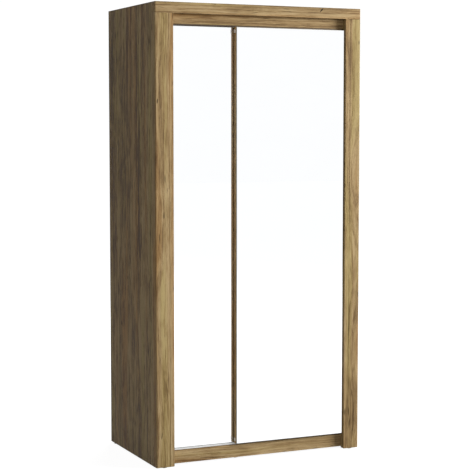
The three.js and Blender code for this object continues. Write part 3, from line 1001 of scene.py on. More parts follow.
def cap_head():
    """A domed cap with a pry notch, one unit wide."""
    bm = bmesh.new()
    profile = [(0.0, -0.02), (0.49, -0.02), (0.5, 0.015), (0.47, 0.05), (0.40, 0.062)]
    profile += [(0.37, 0.045), (0.33, 0.045), (0.30, 0.062), (0.0, 0.066)]
    turned(bm, profile, (0, 0, 0), steps=28)
    roll(bm, math.pi / 2, "X")
    crease(bm)
    return to_object(bm, "cap", [])


def nailed_edge(name, node):
    """Nails round a back panel, evenly spaced inside its edge."""
    sizes = bpy.context.scene.wardrobe_sizes
    low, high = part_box(node)
    inset = 2 * sizes.nail_inset
    maker = Maker("Nailed edge maker")
    maker.inputs(
        width=high.x - low.x - inset, height=high.z - low.z - inset, spacing=sizes.nail_spacing,
        head_width=sizes.nail_head, middle=Vector(((low.x + high.x) / 2, high.y, (low.z + high.z) / 2)),
        finish=zinc(),
    )
    path = maker.add("GeometryNodeCurvePrimitiveQuadrilateral", {"mode": "RECTANGLE"}, {
        "Width": maker["width"], "Height": maker["height"],
    })[0]
    spaced = maker.add("GeometryNodeResampleCurve", {"mode": "LENGTH"}, {
        "Curve": path, "Length": maker["spacing"],
    })[0]
    shank = 0.0008
    head = maker.add("GeometryNodeMeshCone", {"fill_type": "NGON"}, {
        "Vertices": 12, "Radius Top": maker["head_width"] * 0.36,
        "Radius Bottom": maker["head_width"] * 0.5, "Depth": shank,
    })["Mesh"]
    placed = maker.add("GeometryNodeInstanceOnPoints", None, {"Points": spaced, "Instance": head})[0]
    upright = maker.add("GeometryNodeTransform", None, {
        "Geometry": placed, "Translation": maker["middle"], "Rotation": (-math.pi / 2, 0.0, 0.0),
    })[0]
    seated = maker.add("GeometryNodeTransform", None, {
        "Geometry": upright, "Translation": (0.0, -shank, 0.0),
    })[0]
    maker.end(seated, maker["finish"])
    return maker.run(points_object([]), name)


def drilled(board, first, rows_apart, count):
    """Drills two upright rows of shelf pin holes into a board's face."""
    sizes = bpy.context.scene.wardrobe_sizes
    name = board.name
    board.name = "undrilled"
    maker = Maker("Pin hole maker")
    maker.inputs(
        first_hole=Vector(first), hole_spacing=sizes.pin_step, holes=count,
        rows_apart=rows_apart, hole_width=sizes.pin_hole, hole_depth=sizes.pin_hole_depth, finish=core(),
    )
    step = maker.add("ShaderNodeCombineXYZ", None, (0.0, 0.0, maker["hole_spacing"]))[0]
    up = maker.add("GeometryNodeMeshLine", {"mode": "OFFSET"}, {
        "Count": maker["holes"], "Start Location": maker["first_hole"], "Offset": step,
    })[0]
    apart = maker.add("ShaderNodeCombineXYZ", None, (0.0, maker["rows_apart"], 0.0))[0]
    second = maker.add("GeometryNodeTransform", None, {"Geometry": up, "Translation": apart})[0]
    rows = maker.add("GeometryNodeJoinGeometry", None, ())
    maker.tree.links.new(up.socket, rows.node.inputs[0])
    maker.tree.links.new(second.socket, rows.node.inputs[0])
    # Half of the bit's length is in the board.
    bit = maker.add("GeometryNodeMeshCylinder", None, {
        "Vertices": 14, "Radius": maker["hole_width"] * 0.5, "Depth": maker["hole_depth"] * 2.0,
    })["Mesh"]
    bits = maker.add("GeometryNodeInstanceOnPoints", None, {
        "Points": rows[0], "Instance": bit, "Rotation": (0.0, math.pi / 2, 0.0),
    })[0]
    real = maker.add("GeometryNodeRealizeInstances", None, {"Geometry": bits})[0]
    marked = maker.add("GeometryNodeStoreNamedAttribute", {"data_type": "BOOLEAN", "domain": "FACE"}, {
        "Geometry": real, "Name": "drilled", "Value": True,
    })[0]
    holes = maker.add("GeometryNodeMeshBoolean", {"operation": "DIFFERENCE", "solver": "EXACT"}, {
        "Mesh 1": maker.base(), "Mesh 2": marked,
    })[0]
    where = maker.add("GeometryNodeInputNamedAttribute", {"data_type": "BOOLEAN"}, {"Name": "drilled"})[0]
    maker.end(holes, maker["finish"], where)
    return maker.run(board, name)


def swept_oval(name, x0, x1, middle, width, height, wall, material):
    """An oval tube swept along X, as a rule of its section and length."""
    maker = Maker("Oval tube maker")
    maker.inputs(
        tube_width=width, tube_height=height, wall=wall, start=Vector((x0, *middle)),
        finish_point=Vector((x1, *middle)), finish=material,
    )
    line = maker.add("GeometryNodeCurvePrimitiveLine", {"mode": "POINTS"}, {
        "Start": maker["start"], "End": maker["finish_point"],
    })[0]
    walls = []
    for inner in (0, 1):
        across = maker["tube_width"] - maker["wall"] * (2.0 * inner)
        tall = maker["tube_height"] - maker["wall"] * (2.0 * inner)
        plate = maker.add("GeometryNodeCurvePrimitiveQuadrilateral", {"mode": "RECTANGLE"}, {
            "Width": across, "Height": tall,
        })[0]
        rounded = maker.add("GeometryNodeFilletCurve", {"mode": "POLY"}, {
            "Curve": plate, "Count": 10, "Radius": across * 0.4999,
        })[0]
        walls.append(maker.add("GeometryNodeCurveToMesh", None, {
            "Curve": line, "Profile Curve": rounded, "Fill Caps": True,
        })[0])
    hollow = maker.add("GeometryNodeMeshBoolean", {"operation": "DIFFERENCE", "solver": "EXACT"}, {
        "Mesh 1": walls[0], "Mesh 2": walls[1],
    })[0]
    maker.end(hollow, maker["finish"])
    return maker.run(points_object([]), name)


# ---- the wardrobe's pieces -----------------------------------------------------------------


def groove(x, y, half_width, depth):
    """Plan of a shallow rounded groove in a face that looks forward."""
    profile = ((-1.0, 0.0), (-0.56, 0.67), (-0.22, 1.0), (0.22, 1.0), (0.56, 0.67), (1.0, 0.0))
    return [(x + across * half_width, y + deep * depth) for across, deep in profile]


def frame_bar(node, round_left, round_right, material):
    """A bar of the front frame, its outer upright corners rounded and every arris eased."""
    sizes = bpy.context.scene.wardrobe_sizes
    low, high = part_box(node)
    radius = sizes.post_round
    plan = [(low.x, high.y)]
    if round_left:
        plan += arc((low.x + radius, low.y + radius), radius, 180, 270, 14)
    else:
        plan.append((low.x, low.y))
    if round_left != round_right:  # a post: its groove stands off the edge by the doors
        inner = high.x - sizes.groove_inset if round_left else low.x + sizes.groove_inset
        plan += groove(inner, low.y, sizes.groove_width / 2, sizes.groove_depth)
    if round_right:
        plan += arc((high.x - radius, low.y + radius), radius, 270, 360, 14)
    else:
        plan.append((high.x, low.y))
    plan.append((high.x, high.y))
    bm = bmesh.new()
    extrude_loop(bm, [(x, y, low.z) for x, y in plan], (0, 0, high.z - low.z))
    for face in bm.faces:
        curved = face.calc_area() < radius * 0.2 * (high.z - low.z)
        face.smooth = curved and abs(face.normal.z) < 0.5
    soften(bm, sizes.arris)
    return to_object(bm, f"{node}_bar", [material])


class WARDROBE_OT_front_frame(bpy.types.Operator):
    """Make the posts, the top rail, the fascia and the front plinth"""

    bl_idname = "wardrobe.front_frame"
    bl_label = "Front frame"

    def execute(self, context):
        left_knots = knots_in("front_post_left", 11, 10, 0.0028, 0.019)
        right_knots = knots_in("front_post_right", 23, 7, 0.0028, 0.019)
        top_knots = knots_in("top_front_rail", 5, 4, 0.0017, 0.016, "across")
        top_knots.append(rail_notch("top_front_rail"))
        fascia_knots = knots_in("fascia", 31, 3, 0.0020, 0.018, "across")
        plinth_knots = knots_in("plinth_front", 42, 4, 0.0024, 0.017, "across")
        left = finish("Oak, left post", oak, "up", (0.47, 0.36, 0.0), left_knots, contrast=1.1)
        right = finish("Oak, right post", oak, "up", (-0.52, 0.40, 3.1), right_knots)
        top = finish("Oak, top rail", oak, "across", (-2.03, 0.335, 1.7), top_knots, light=0.10)
        # The fascia's lowered tone is painted shade under the top rail; the plinth's raised tone is
        # painted light from the floor, with painted shade along its top edge.
        fascia = finish("Oak, fascia", oak, "across", (-1.99, 0.318, 7.6), fascia_knots, light=-0.05)
        plinth = finish("Oak, plinth", oak, "across", (-0.01, 0.300, 8.1), plinth_knots,
                        light=0.18, dark_edges="plinth_front")
        bars = (
            ("front_post_left", True, False, left),
            ("front_post_right", False, True, right),
            ("top_front_rail", True, True, top),
        )
        for node, round_left, round_right, material in bars:
            put(frame_bar(node, round_left, round_right, material), CARCASS, [node])
        for node, material in (("fascia", fascia), ("plinth_front", plinth)):
            board = banded_board(node, material, [(UP, -1), (UP, 1)])
            put(board, CARCASS, [node])
        return {"FINISHED"}


class WARDROBE_OT_carcass(bpy.types.Operator):
    """Make the sides, top, bottom, partition, shelves and base boards"""

    bl_idname = "wardrobe.carcass"
    bl_label = "Carcass and shelves"

    def execute(self, context):
        sizes = context.scene.wardrobe_sizes
        side_bands = [(DEEP, -1), (DEEP, 1), (UP, 1)]
        knots = {
            "left": knots_in("side_panel_left", 7, 12, 0.0055, 0.018),
            "right": knots_in("side_panel_right", 8, 12, 0.0055, 0.018),
        }
        # The left side's lowered tone is painted shade, and both sides get painted shade along their top
        # and rear edges.
        sides = {
            "left": finish("Oak, left side", oak, "up", (0.57, 0.11, 0.0), knots["left"],
                           faces_side=True, contrast=1.9, light=-0.12, patches=0.9,
                           dark_edges="side_panel_left"),
            "right": finish("Oak, right side", oak, "up", (-0.44, -0.06, 6.2), knots["right"],
                            faces_side=True, contrast=1.3, light=-0.05, patches=0.75,
                            dark_edges="side_panel_right"),
        }
        flat = finish("Inside board, level", inside_board, "across", (0.3, 0.1, 0.0))
        upright = finish("Inside board, upright", inside_board, "up", (0.1, 0.4, 2.0))

        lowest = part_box("shelf_1")[0]
        back_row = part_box("shelf_1")[1].y - sizes.pin_inset
        front_row = lowest.y + sizes.pin_inset
        pin_z = lowest.z - sizes.pin_hole / 2
        steps_below = 3
        first_z = pin_z - steps_below * sizes.pin_step
        count = 2 + 2 * steps_below + round(3 * SHELF_STEP / sizes.pin_step)
        for side in SIDES:
            board = banded_board(f"side_panel_{side}", sides[side], side_bands)
            if side == "left":
                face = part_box("side_panel_left")[1].x
                board = drilled(board, (face, front_row, first_z), back_row - front_row, count)
            put(board, CARCASS, [f"side_panel_{side}"])

        put(self.partition(upright, front_row, back_row, first_z, count),
            CARCASS, ["partition"])

        front_band = [(DEEP, -1)]
        level = {
            "top_panel": [], "bottom_panel": front_band, "header_board": [(DEEP, 1)],
            "hat_shelf_left": front_band, "hat_shelf_right": front_band,
            **{shelf: front_band for shelf in SHELVES},
        }
        for node, bands in level.items():
            put(banded_board(node, flat, bands), CARCASS, [node])
        for node in ("plinth_rear", "middle_bearer"):
            put(banded_board(node, flat, []), CARCASS, [node])
        return {"FINISHED"}

    def partition(self, material, front_row, back_row, first_z, count):
        """The notched partition, banded in front and drilled on its left face."""
        sizes = bpy.context.scene.wardrobe_sizes
        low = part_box("partition")[0]
        bm = copy_of("partition")
        for face in bm.faces:
            in_front = face.normal.y < -0.5 and abs(face.calc_center_median().y - low.y) < MM
            face.material_index = 0 if in_front or abs(face.normal.x) > 0.5 else 1
        soften(bm, sizes.arris)
        board = to_object(bm, "partition_board", [material, core()])
        return drilled(board, (low.x, front_row, first_z), back_row - front_row, count)


class WARDROBE_OT_back(bpy.types.Operator):
    """Make the two back panels and their nails"""

    bl_idname = "wardrobe.back"
    bl_label = "Back panels"

    def execute(self, context):
        sizes = context.scene.wardrobe_sizes
        brown = finish("Hardboard", hardboard)
        for side in SIDES:
            node = f"back_panel_{side}"
            bm = copy_of(node)
            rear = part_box(node)[1].y
            for vert in bm.verts:
                if vert.co.y > rear - NAIL_PROUD:
                    vert.co.y = rear - NAIL_PROUD
            soften(bm, sizes.sheet_edge)
            put(to_object(bm, f"{node}_sheet", [brown]), CARCASS, [node])
            put(nailed_edge(f"back_nails_{side}", node), CARCASS)
        return {"FINISHED"}


class WARDROBE_OT_hanging_rail(bpy.types.Operator):
    """Make the oval hanging rail and its end sockets"""

    bl_idname = "wardrobe.hanging_rail"
    bl_label = "Hanging rail"

    def execute(self, context):
        sizes = context.scene.wardrobe_sizes
        middle = ((TUBE_LOW.y + TUBE_HIGH.y) / 2, (TUBE_LOW.z + TUBE_HIGH.z) / 2)
        bright = finish("Chromed tube", plated_steel, 1.25, (4, 1200, 1200), -0.14)
        rail = swept_oval(
            "hanging_rail_tube", TUBE_LOW.x, TUBE_HIGH.x, middle,
            TUBE_HIGH.y - TUBE_LOW.y, TUBE_HIGH.z - TUBE_LOW.z, sizes.tube_wall, bright,
        )
        for face in rail.data.polygons:
            face.use_smooth = face.area < 0.002 and abs(face.normal.x) < 0.5
        put(rail, CARCASS, ["hanging_rail"])
        for side in SIDES:
            node = f"rail_socket_{side}"
            bm = copy_of(node)
            soften(bm, sizes.metal_edge * 2, edges=sharp_edges(bm, 60))
            put(to_object(bm, f"{node}_casting", [zinc()]), CARCASS, [node])
        return {"FINISHED"}


class WARDROBE_OT_rails(bpy.types.Operator):
    """Make the running rail, the guide rail and the rubber track stops"""

    bl_idname = "wardrobe.rails"
    bl_label = "Rails and stops"

    def execute(self, context):
        sizes = context.scene.wardrobe_sizes
        rails = (
            ("running_rail", "bright_rail", colour_of("aluminium"), 0.72),
            ("guide_rail", "dark_rail", colour_of("bronze"), 1.6),
        )
        for node, slot, plain, rubbed_tone in rails:
            bm = copy_of(node)
            soften(bm, sizes.metal_edge)
            metal = finish(f"Anodised {slot}", anodised, plain, rubbed_tone)
            put(to_object(bm, f"{node}_section", [metal]), CARCASS, [node])
        for side in SIDES:
            node = f"track_stop_{side}"
            bm = copy_of(node)
            soften(bm, sizes.stop_round, segments=3)
            put(to_object(bm, f"{node}_block", [rubber()]), CARCASS, [node])
        return {"FINISHED"}


class WARDROBE_OT_doors(bpy.types.Operator):
    """Make the two door boards, their mirrors and the front door's felt buffers"""

    bl_idname = "wardrobe.doors"
    bl_label = "Doors and mirrors"

    def execute(self, context):
        sizes = context.scene.wardrobe_sizes
        shifts = {"rear": (0.61, 0.30, 2.7), "front": (0.24, 0.33, 4.6)}
        for door in DOORS:
            board_node, mirror_node = f"{door}_door_board", f"{door}_door_mirror"
            # The door boards' raised tone is painted light, for their edges that show beside the mirrors.
            wood = finish(f"Oak, {door} door", oak, "up", shifts[door], light=0.32)
            bm = copy_of(board_node)
            soften(bm, sizes.arris, edges=sharp_edges(bm, 50))
            board = to_object(bm, f"{board_node}_panel", [wood])
            put(board, f"{door}_door", [board_node])
            put(self.mirror(mirror_node), f"{door}_door", [mirror_node])
        felt = finish("Pressed felt", pressed_felt)
        for place in ("top", "bottom"):
            node = f"edge_pad_{place}"
            put(self.buffer(node, felt), "front_door", [node])
        return {"FINISHED"}

    def mirror(self, node):
        """Mirror glass with a ground bevel round its face."""
        sizes = bpy.context.scene.wardrobe_sizes
        face_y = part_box(node)[0].y
        bm = copy_of(node)
        rim = []
        for edge in sharp_edges(bm, 50):
            if all(abs(v.co.y - face_y) < 0.1 * MM for v in edge.verts):
                rim.append(edge)
        bevel = soften(bm, sizes.glass_bevel, segments=1, edges=rim, smooth=False)
        for face in bm.faces:
            face.material_index = 1
            if face.normal.y < -0.99:
                face.material_index = 0
            elif face.normal.y > 0.99:
                face.material_index = 2
        for face in bevel:
            if face.is_valid:
                face.material_index = 1
        materials = [
            finish("Mirror silver", mirror_silver), finish("Ground glass edge", ground_glass),
            finish("Mirror backing", mirror_back),
        ]
        return to_object(bm, f"{node}_glass", materials)

    def buffer(self, node, material):
        """A felt buffer: a block with a crowned, slightly uneven face."""
        low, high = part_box(node)
        bm = box_mesh(low, high)
        bmesh.ops.subdivide_edges(bm, edges=bm.edges, cuts=9, use_grid_fill=True)
        random.seed(node)
        half_y, half_z = (high.y - low.y) / 2, (high.z - low.z) / 2
        middle = (low + high) / 2
        for vert in bm.verts:
            out_y = abs(vert.co.y - middle.y) / half_y
            out_z = abs(vert.co.z - middle.z) / half_z
            proud = (high.x - vert.co.x) / (high.x - low.x)
            drop = 0.0009 * max(out_y, out_z) ** 6
            vert.co.x += proud * (drop + random.uniform(0.0, 0.00008))
            squeeze = 1 - 0.05 * proud * max(0.0, max(out_y, out_z) - 0.6)
            vert.co.y = middle.y + (vert.co.y - middle.y) * squeeze
            vert.co.z = middle.z + (vert.co.z - middle.z) * squeeze
        for face in bm.faces:
            face.smooth = True
        crease(bm, 60)
        return to_object(bm, f"{node}_felt", [material])


class WARDROBE_OT_running_gear(bpy.types.Operator):
    """Make the grooved wheels, roller plates, axles and door guides"""

    bl_idname = "wardrobe.running_gear"
    bl_label = "Wheels and guides"

    def execute(self, context):
        for door in DOORS:
            for side in SIDES:
                self.wheel(f"{door}_{side}")
                self.plate(f"{door}_{side}")
                self.guide(f"{door}_guide_{side}")
        return {"FINISHED"}

    def wheel(self, name):
        """A grooved nylon wheel: a hub, a sunk web with ribs, and a rim with a groove."""
        sizes = bpy.context.scene.wardrobe_sizes
        node = f"{name}_wheel"
        low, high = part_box(node)
        centre = (low + high) / 2
        radius = (high.x - low.x) / 2
        half = (high.y - low.y) / 2
        ease = 0.0004
        groove_floor = radius - 0.0020
        profile = [(0.0023, -half + ease), (0.0026, -half), (0.0046, -half), (0.0050, -half + ease)]
        profile += [(0.0052, -half + 0.0012), (0.0086, -half + 0.0012), (0.0088, -half + ease)]
        profile += [(0.0091, -half), (radius - ease, -half), (radius, -half + ease)]
        profile += [(radius, -0.0020), (radius - 0.0004, -0.0017), (groove_floor, -0.0014)]
        profile += [(r, -y) for r, y in reversed(profile)]
        bm = bmesh.new()
        turned(bm, profile, centre, steps=48)
        crease(bm)
        for n in range(sizes.wheel_ribs):
            rib = box_mesh((0.0047, -half + 0.0002, -0.0005), (0.0089, half - 0.0002, 0.0005))
            roll(rib, 2 * math.pi * n / sizes.wheel_ribs, "Y")
            bmesh.ops.translate(rib, vec=centre, verts=rib.verts)
            add_shape(bm, rib)
        put(to_object(bm, f"{name}_grooved_wheel", [nylon()]), body_of(node), [node])

    def plate(self, name):
        """A stamped plate with rounded corners, and its riveted axle."""
        sizes = bpy.context.scene.wardrobe_sizes
        plate_node, axle_node = f"{name}_roller_plate", f"{name}_axle"
        low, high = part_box(plate_node)
        bm = bmesh.new()
        corner = 0.004
        outline = []
        corners = (
            ((high.x - corner, high.z - corner), 0), ((low.x + corner, high.z - corner), 90),
            ((low.x + corner, low.z + corner), 180), ((high.x - corner, low.z + corner), 270),
        )
        for centre, start in corners:
            outline += arc(centre, corner, start, start + 90, 6)
        extrude_loop(bm, [(x, low.y, z) for x, z in outline], (0, high.y - low.y, 0))
        soften(bm, sizes.plate_edge, edges=sharp_edges(bm, 60))
        put(to_object(bm, f"{name}_roller_stamping", [zinc()]), body_of(plate_node),
            [plate_node])

        low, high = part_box(axle_node)
        centre = Vector(((low.x + high.x) / 2, low.y, (low.z + high.z) / 2))
        reach = high.y - low.y
        head = (high.x - low.x) / 2
        profile = [(0.0, 0.0), (0.0020, 0.0), (0.0020, reach - 0.0010), (head - 0.0002, reach - 0.0010)]
        profile += [(head, reach - 0.0007), (head * 0.86, reach - 0.0002), (head * 0.5, reach)]
        profile += [(head * 0.3, reach - 0.0003), (0.0, reach - 0.0004)]
        bm = bmesh.new()
        turned(bm, profile, centre, steps=24)
        crease(bm)
        put(to_object(bm, f"{name}_riveted_axle", [zinc()]), body_of(axle_node),
            [axle_node])

    def guide(self, node):
        """A moulded guide block, its tongue in the guide rail, with three hollowed pockets."""
        sizes = bpy.context.scene.wardrobe_sizes
        low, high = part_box(node)
        bm = copy_of(node)
        soften(bm, sizes.guide_edge)
        block = to_object(bm, "block", [nylon()])
        pockets = bmesh.new()
        middle = (low.x + high.x) / 2
        wall = 0.003
        screw_boss = 0.006, 0.016  # from and to, either side of the middle
        z0, z1 = low.z + 0.013, high.z - 0.013
        deep, clear = 0.0035, 0.002
        spans = (
            (low.x + wall, middle - screw_boss[1]),
            (middle - screw_boss[0], middle + screw_boss[0]),
            (middle + screw_boss[1], high.x - wall),
        )
        for x0, x1 in spans:
            add_shape(pockets, box_mesh((x0, high.y - deep, z0), (x1, high.y + clear, z1)))
        made = cut_away(block, to_object(pockets, "pockets", []), f"{node}_moulding")
        put(made, body_of(node), [node])


class WARDROBE_OT_feet_and_brackets(bpy.types.Operator):
    """Make the floor glides and the brackets that hold the wardrobe to the wall"""

    bl_idname = "wardrobe.feet_and_brackets"
    bl_label = "Glides and wall brackets"

    def execute(self, context):
        sizes = context.scene.wardrobe_sizes
        glides = [node for node in frame["nodes"] if node.startswith("glide_")]
        for node in sorted(glides):
            low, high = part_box(node)
            radius = (high.x - low.x) / 2
            rise = high.z - low.z
            profile = [(0.0, 0.0008), (radius * 0.22, 0.0008), (radius * 0.30, 0.0)]
            profile += [(radius - 0.0010, 0.0), (radius - 0.0003, 0.0003), (radius, 0.0010)]
            profile += [(radius, rise - 0.0003), (radius - 0.0003, rise), (0.0, rise)]
            bm = bmesh.new()
            turned(bm, profile, (0, 0, 0), steps=36)
            roll(bm, math.pi / 2, "X")
            foot = Vector(((low.x + high.x) / 2, (low.y + high.y) / 2, low.z))
            bmesh.ops.translate(bm, vec=foot, verts=bm.verts)
            crease(bm)
            put(to_object(bm, f"{node}_pad", [nylon()]), CARCASS, [node])
        for side in SIDES:
            node = f"wall_bracket_{side}"
            bm = copy_of(node)
            soften(bm, sizes.bracket_edge, edges=sharp_edges(bm, 60))
            put(to_object(bm, f"{node}_angle", [zinc()]), CARCASS, [node])
        return {"FINISHED"}


class WARDROBE_OT_fasteners(bpy.types.Operator):
    """Set the screws, shelf pins and cam covers, one mesh for each kind and body"""

    bl_idname = "wardrobe.fasteners"
    bl_label = "Screws, pins and covers"

    def execute(self, context):
        sizes = context.scene.wardrobe_sizes
        pan, flat, cap, pin = screw_head(False), screw_head(True), cap_head(), self.pin()
        for door in DOORS:
            screws = fastened(f"{door}_door_screws", pan, self.door_screws(door),
                              sizes.plate_screw, zinc(), 3)
            put(screws, f"{door}_door")
        put(fastened("fitting_screws", pan, self.fitting_screws(), sizes.plate_screw, zinc(), 5),
            CARCASS)
        put(fastened("rail_screws", flat, self.rail_screws(), sizes.rail_screw, zinc(), 11),
            CARCASS)
        put(fastened("cam_covers", cap, self.cam_covers(), sizes.cam_cover, cap_plastic(), 13),
            CARCASS)
        put(fastened("shelf_pins", pin, self.pins(), 1.0, zinc(), 0), CARCASS)
        for head in (pan, flat, cap, pin):
            bpy.data.objects.remove(head)
        return {"FINISHED"}

    def door_screws(self, door):
        """Three screws in each roller plate above the wheel, and two in each guide."""
        back = Vector((0, 1, 0))
        sunk = 0.0008  # of the heads, in the guides
        places = []
        for side in SIDES:
            low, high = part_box(f"{door}_{side}_roller_plate")
            middle = (low.x + high.x) / 2
            for dx, z in ((-0.015, high.z - 0.008), (0.015, high.z - 0.008), (0.0, high.z - 0.016)):
                places.append((Vector((middle + dx, high.y, z)), back))
            low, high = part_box(f"{door}_guide_{side}")
            middle = (low.x + high.x) / 2
            for dx in (-0.011, 0.011):
                place = Vector((middle + dx, high.y - sunk, (low.z + high.z) / 2))
                places.append((place, back))
        return places

    def fitting_screws(self):
        """Two screws in each hanging rail socket, one in each wall bracket."""
        places = []
        for side, way in (("left", 1), ("right", -1)):
            low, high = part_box(f"rail_socket_{side}")
            face = low.x + 0.003 if way > 0 else high.x - 0.003
            for z in (low.z + 0.0055, high.z - 0.0055):
                places.append((Vector((face, (low.y + high.y) / 2, z)), Vector((way, 0, 0))))
            low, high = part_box(f"wall_bracket_{side}")
            middle = (low.x + high.x) / 2
            places.append((Vector((middle, low.y + 0.012, low.z + 0.002)), Vector((0, 0, 1))))
        return places

    def rail_screws(self):
        """Countersunk screws along the front lip of both rails."""
        step = bpy.context.scene.wardrobe_sizes.rail_screw_step
        count = int((RAIL_HIGH.x - RAIL_LOW.x - 0.06) / step) + 1
        start = (RAIL_LOW.x + RAIL_HIGH.x - step * (count - 1)) / 2
        guide_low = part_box("guide_rail")[0]
        between_ribs = RAIL_LOW.y + 0.0195
        between_slots = guide_low.y + 0.0195
        places = []
        for n in range(count):
            x = start + n * step
            places.append((Vector((x, between_ribs, RAIL_LOW.z + 0.0019)), Vector((0, 0, 1))))
            places.append((Vector((x, between_slots, guide_low.z + 0.0001)), Vector((0, 0, -1))))
        return places

    def cam_covers(self):
        """Covers at both ends of the fixed level boards: pairs, and single ones on the header board."""
        inset = 0.034
        down = Vector((0, 0, -1))
        places = []
        behind = 0.06
        from_front = {"hat_shelf_left": 0.06, "hat_shelf_right": 0.06, "top_panel": 0.12}
        for node, ahead in from_front.items():
            low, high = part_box(node)
            for x in (low.x + inset, high.x - inset):
                for y in (low.y + ahead, high.y - behind):
                    places.append((Vector((x, y, low.z)), down))
        low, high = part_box("header_board")
        for x in (low.x + inset, high.x - inset):
            places.append((Vector((x, (low.y + high.y) / 2 + 0.015, low.z)), down))
        return places

    def pin(self):
        """A shelf pin: a round shank and a flat spoon that the shelf lies on."""
        bm = bmesh.new()
        profile = [(0.0, 0.0), (0.0024, 0.0), (0.0024, -0.0075), (0.0020, -0.008), (0.0, -0.008)]
        turned(bm, [(r, -y) for r, y in profile], (0, 0, 0), steps=12)
        roll(bm, -math.pi / 2, "X")
        collar = bmesh.new()
        ring = [(0.0, 0.0), (0.0038, 0.0), (0.0038, 0.0008), (0.0, 0.0008)]
        turned(collar, ring, (0, 0, 0), steps=12)
        roll(collar, math.pi / 2, "X")
        add_shape(bm, collar)
        crease(bm)
        return to_object(bm, "pin", [])

    def pins(self):
        """Four pins under each loose shelf, two in either wall of the bay."""
        sizes = bpy.context.scene.wardrobe_sizes
        walls = ((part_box("side_panel_left")[1].x, 1), (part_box("partition")[0].x, -1))
        places = []
        for shelf in SHELVES:
            low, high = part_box(shelf)
            for y in (low.y + sizes.pin_inset, high.y - sizes.pin_inset):
                for x, way in walls:
                    z = low.z - sizes.pin_hole / 2
                    places.append((Vector((x, y, z)), Vector((way, 0, 0))))
        return places


# ---- studio --------------------------------------------------------------------------------


SKY_WHITE = 1.03  # plain white even after a mirror's small loss


def direct_sight(seen):
    """1 where the eye looks straight or through a mirror, 0 for light that reaches the pieces."""
    in_mirror = seen["Is Glossy Ray"] * seen["Diffuse Depth"].between(0.6, 0.4)
    return seen["Is Camera Ray"].most(in_mirror)


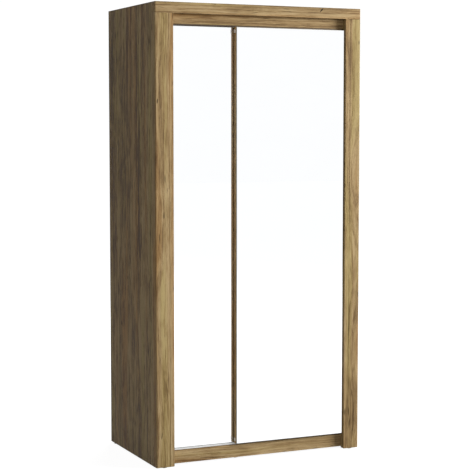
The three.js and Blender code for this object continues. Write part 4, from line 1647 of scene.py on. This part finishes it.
class WARDROBE_OT_stage(bpy.types.Operator):
    """Lay the floor, set the lights and stand the camera"""

    bl_idname = "wardrobe.stage"
    bl_label = "Stage, lights and camera"

    def execute(self, context):
        studio = context.scene.wardrobe_studio
        self.floor()
        self.world(studio.room)
        self.light("Key light", (6.4, -4.0, 3.0), (0.0, -0.2, 1.2), (3.4, 2.8), studio.key_power)
        self.light("Fill light", (-2.4, -5.2, 3.0), (0.0, 0.0, 1.0), (2.2, 2.0), studio.fill_power)
        self.light("Back light", (2.6, 4.2, 2.6), (0.0, 0.3, 1.1), (3.0, 2.5), studio.back_power)

        lens = bpy.data.cameras.new("Camera")
        lens.lens = studio.lens
        lens.sensor_width = 36.0
        lens.clip_end = 100.0
        camera = in_scene("Camera", lens)
        camera.location = studio.camera_place
        camera.rotation_euler = studio.camera_turn
        context.scene.camera = camera
        context.scene.view_settings.view_transform = "Standard"
        return {"FINISHED"}

    def floor(self):
        """A pale floor that runs out of sight."""
        f = Finish("Studio floor")
        here = f.place()
        cloud = f.noise(here, 1.2, 3.0)
        seen = f.add("ShaderNodeLightPath")
        looked_at = direct_sight(seen)
        paint = f.add("ShaderNodeBsdfDiffuse", None, {
            "Color": f.mix(cloud, (0.28, 0.28, 0.28), (0.31, 0.31, 0.31)),
        })[0]
        far_off = here.size().between(1.5, 5.0)
        glow = f.add("ShaderNodeEmission", None, {
            "Color": (1.0, 1.0, 1.0), "Strength": looked_at * (0.93 + far_off * 0.09),
        })[0]
        both = f.add("ShaderNodeAddShader", None, (paint, glow))[0]
        f.add("ShaderNodeOutputMaterial", None, {"Surface": both})
        reach = 30.0
        bm = bmesh.new()
        bmesh.ops.create_grid(bm, x_segments=12, y_segments=12, size=reach)
        floor = to_object(bm, "studio_floor", [f.material])
        floor.location.z = -0.0005

    def world(self, strength):
        """White all round to the eye and in the mirrors, and a soft even light on the rest."""
        world = bpy.data.worlds.new("Studio")
        world.use_nodes = True
        bpy.context.scene.world = world
        world.node_tree.nodes.clear()
        w = Nodes(world.node_tree)
        seen = w.add("ShaderNodeLightPath")
        looked_at = direct_sight(seen)
        level = looked_at * (SKY_WHITE - strength) + strength
        sky = w.add("ShaderNodeBackground", None, {"Color": (1.0, 1.0, 1.0), "Strength": level})[0]
        w.add("ShaderNodeOutputWorld", None, {"Surface": sky})

    def light(self, name, place, aim, size, power):
        lamp = bpy.data.lights.new(name, "AREA")
        lamp.shape = "RECTANGLE"
        lamp.size, lamp.size_y = size
        lamp.energy = power
        obj = in_scene(name, lamp)
        obj.location = place
        obj.rotation_euler = (Vector(aim) - Vector(place)).to_track_quat("-Z", "Y").to_euler()


# ---- the add-on ----------------------------------------------------------------------------

STEPS = (
    WARDROBE_OT_front_frame,
    WARDROBE_OT_carcass,
    WARDROBE_OT_back,
    WARDROBE_OT_hanging_rail,
    WARDROBE_OT_rails,
    WARDROBE_OT_doors,
    WARDROBE_OT_running_gear,
    WARDROBE_OT_feet_and_brackets,
    WARDROBE_OT_fasteners,
    WARDROBE_OT_stage,
)
GROUPS = {
    "wardrobe_sizes": WardrobeSizes,
    "wardrobe_colours": WardrobeColours,
    "wardrobe_studio": WardrobeStudio,
}


class WARDROBE_PT_maker(bpy.types.Panel):
    """Lists the wardrobe's sizes, colours and steps"""

    bl_idname = "WARDROBE_PT_maker"
    bl_label = "Sliding Door Wardrobe"
    bl_space_type = "VIEW_3D"
    bl_region_type = "UI"
    bl_category = "Wardrobe"

    def draw(self, context):
        for attribute, group in GROUPS.items():
            box = self.layout.box()
            for name in group.__annotations__:
                box.prop(getattr(context.scene, attribute), name)
        for step in STEPS:
            self.layout.operator(step.bl_idname)


CLASSES = (*GROUPS.values(), *STEPS, WARDROBE_PT_maker)


def register():
    for cls in CLASSES:
        bpy.utils.register_class(cls)
    for attribute, group in GROUPS.items():
        setattr(bpy.types.Scene, attribute, PointerProperty(type=group))


def unregister():
    for attribute in GROUPS:
        delattr(bpy.types.Scene, attribute)
    for cls in reversed(CLASSES):
        bpy.utils.unregister_class(cls)


def main():
    register()
    for step in STEPS:
        group, name = step.bl_idname.split(".")
        getattr(getattr(bpy.ops, group), name)()


if __name__ == "__main__":
    main()
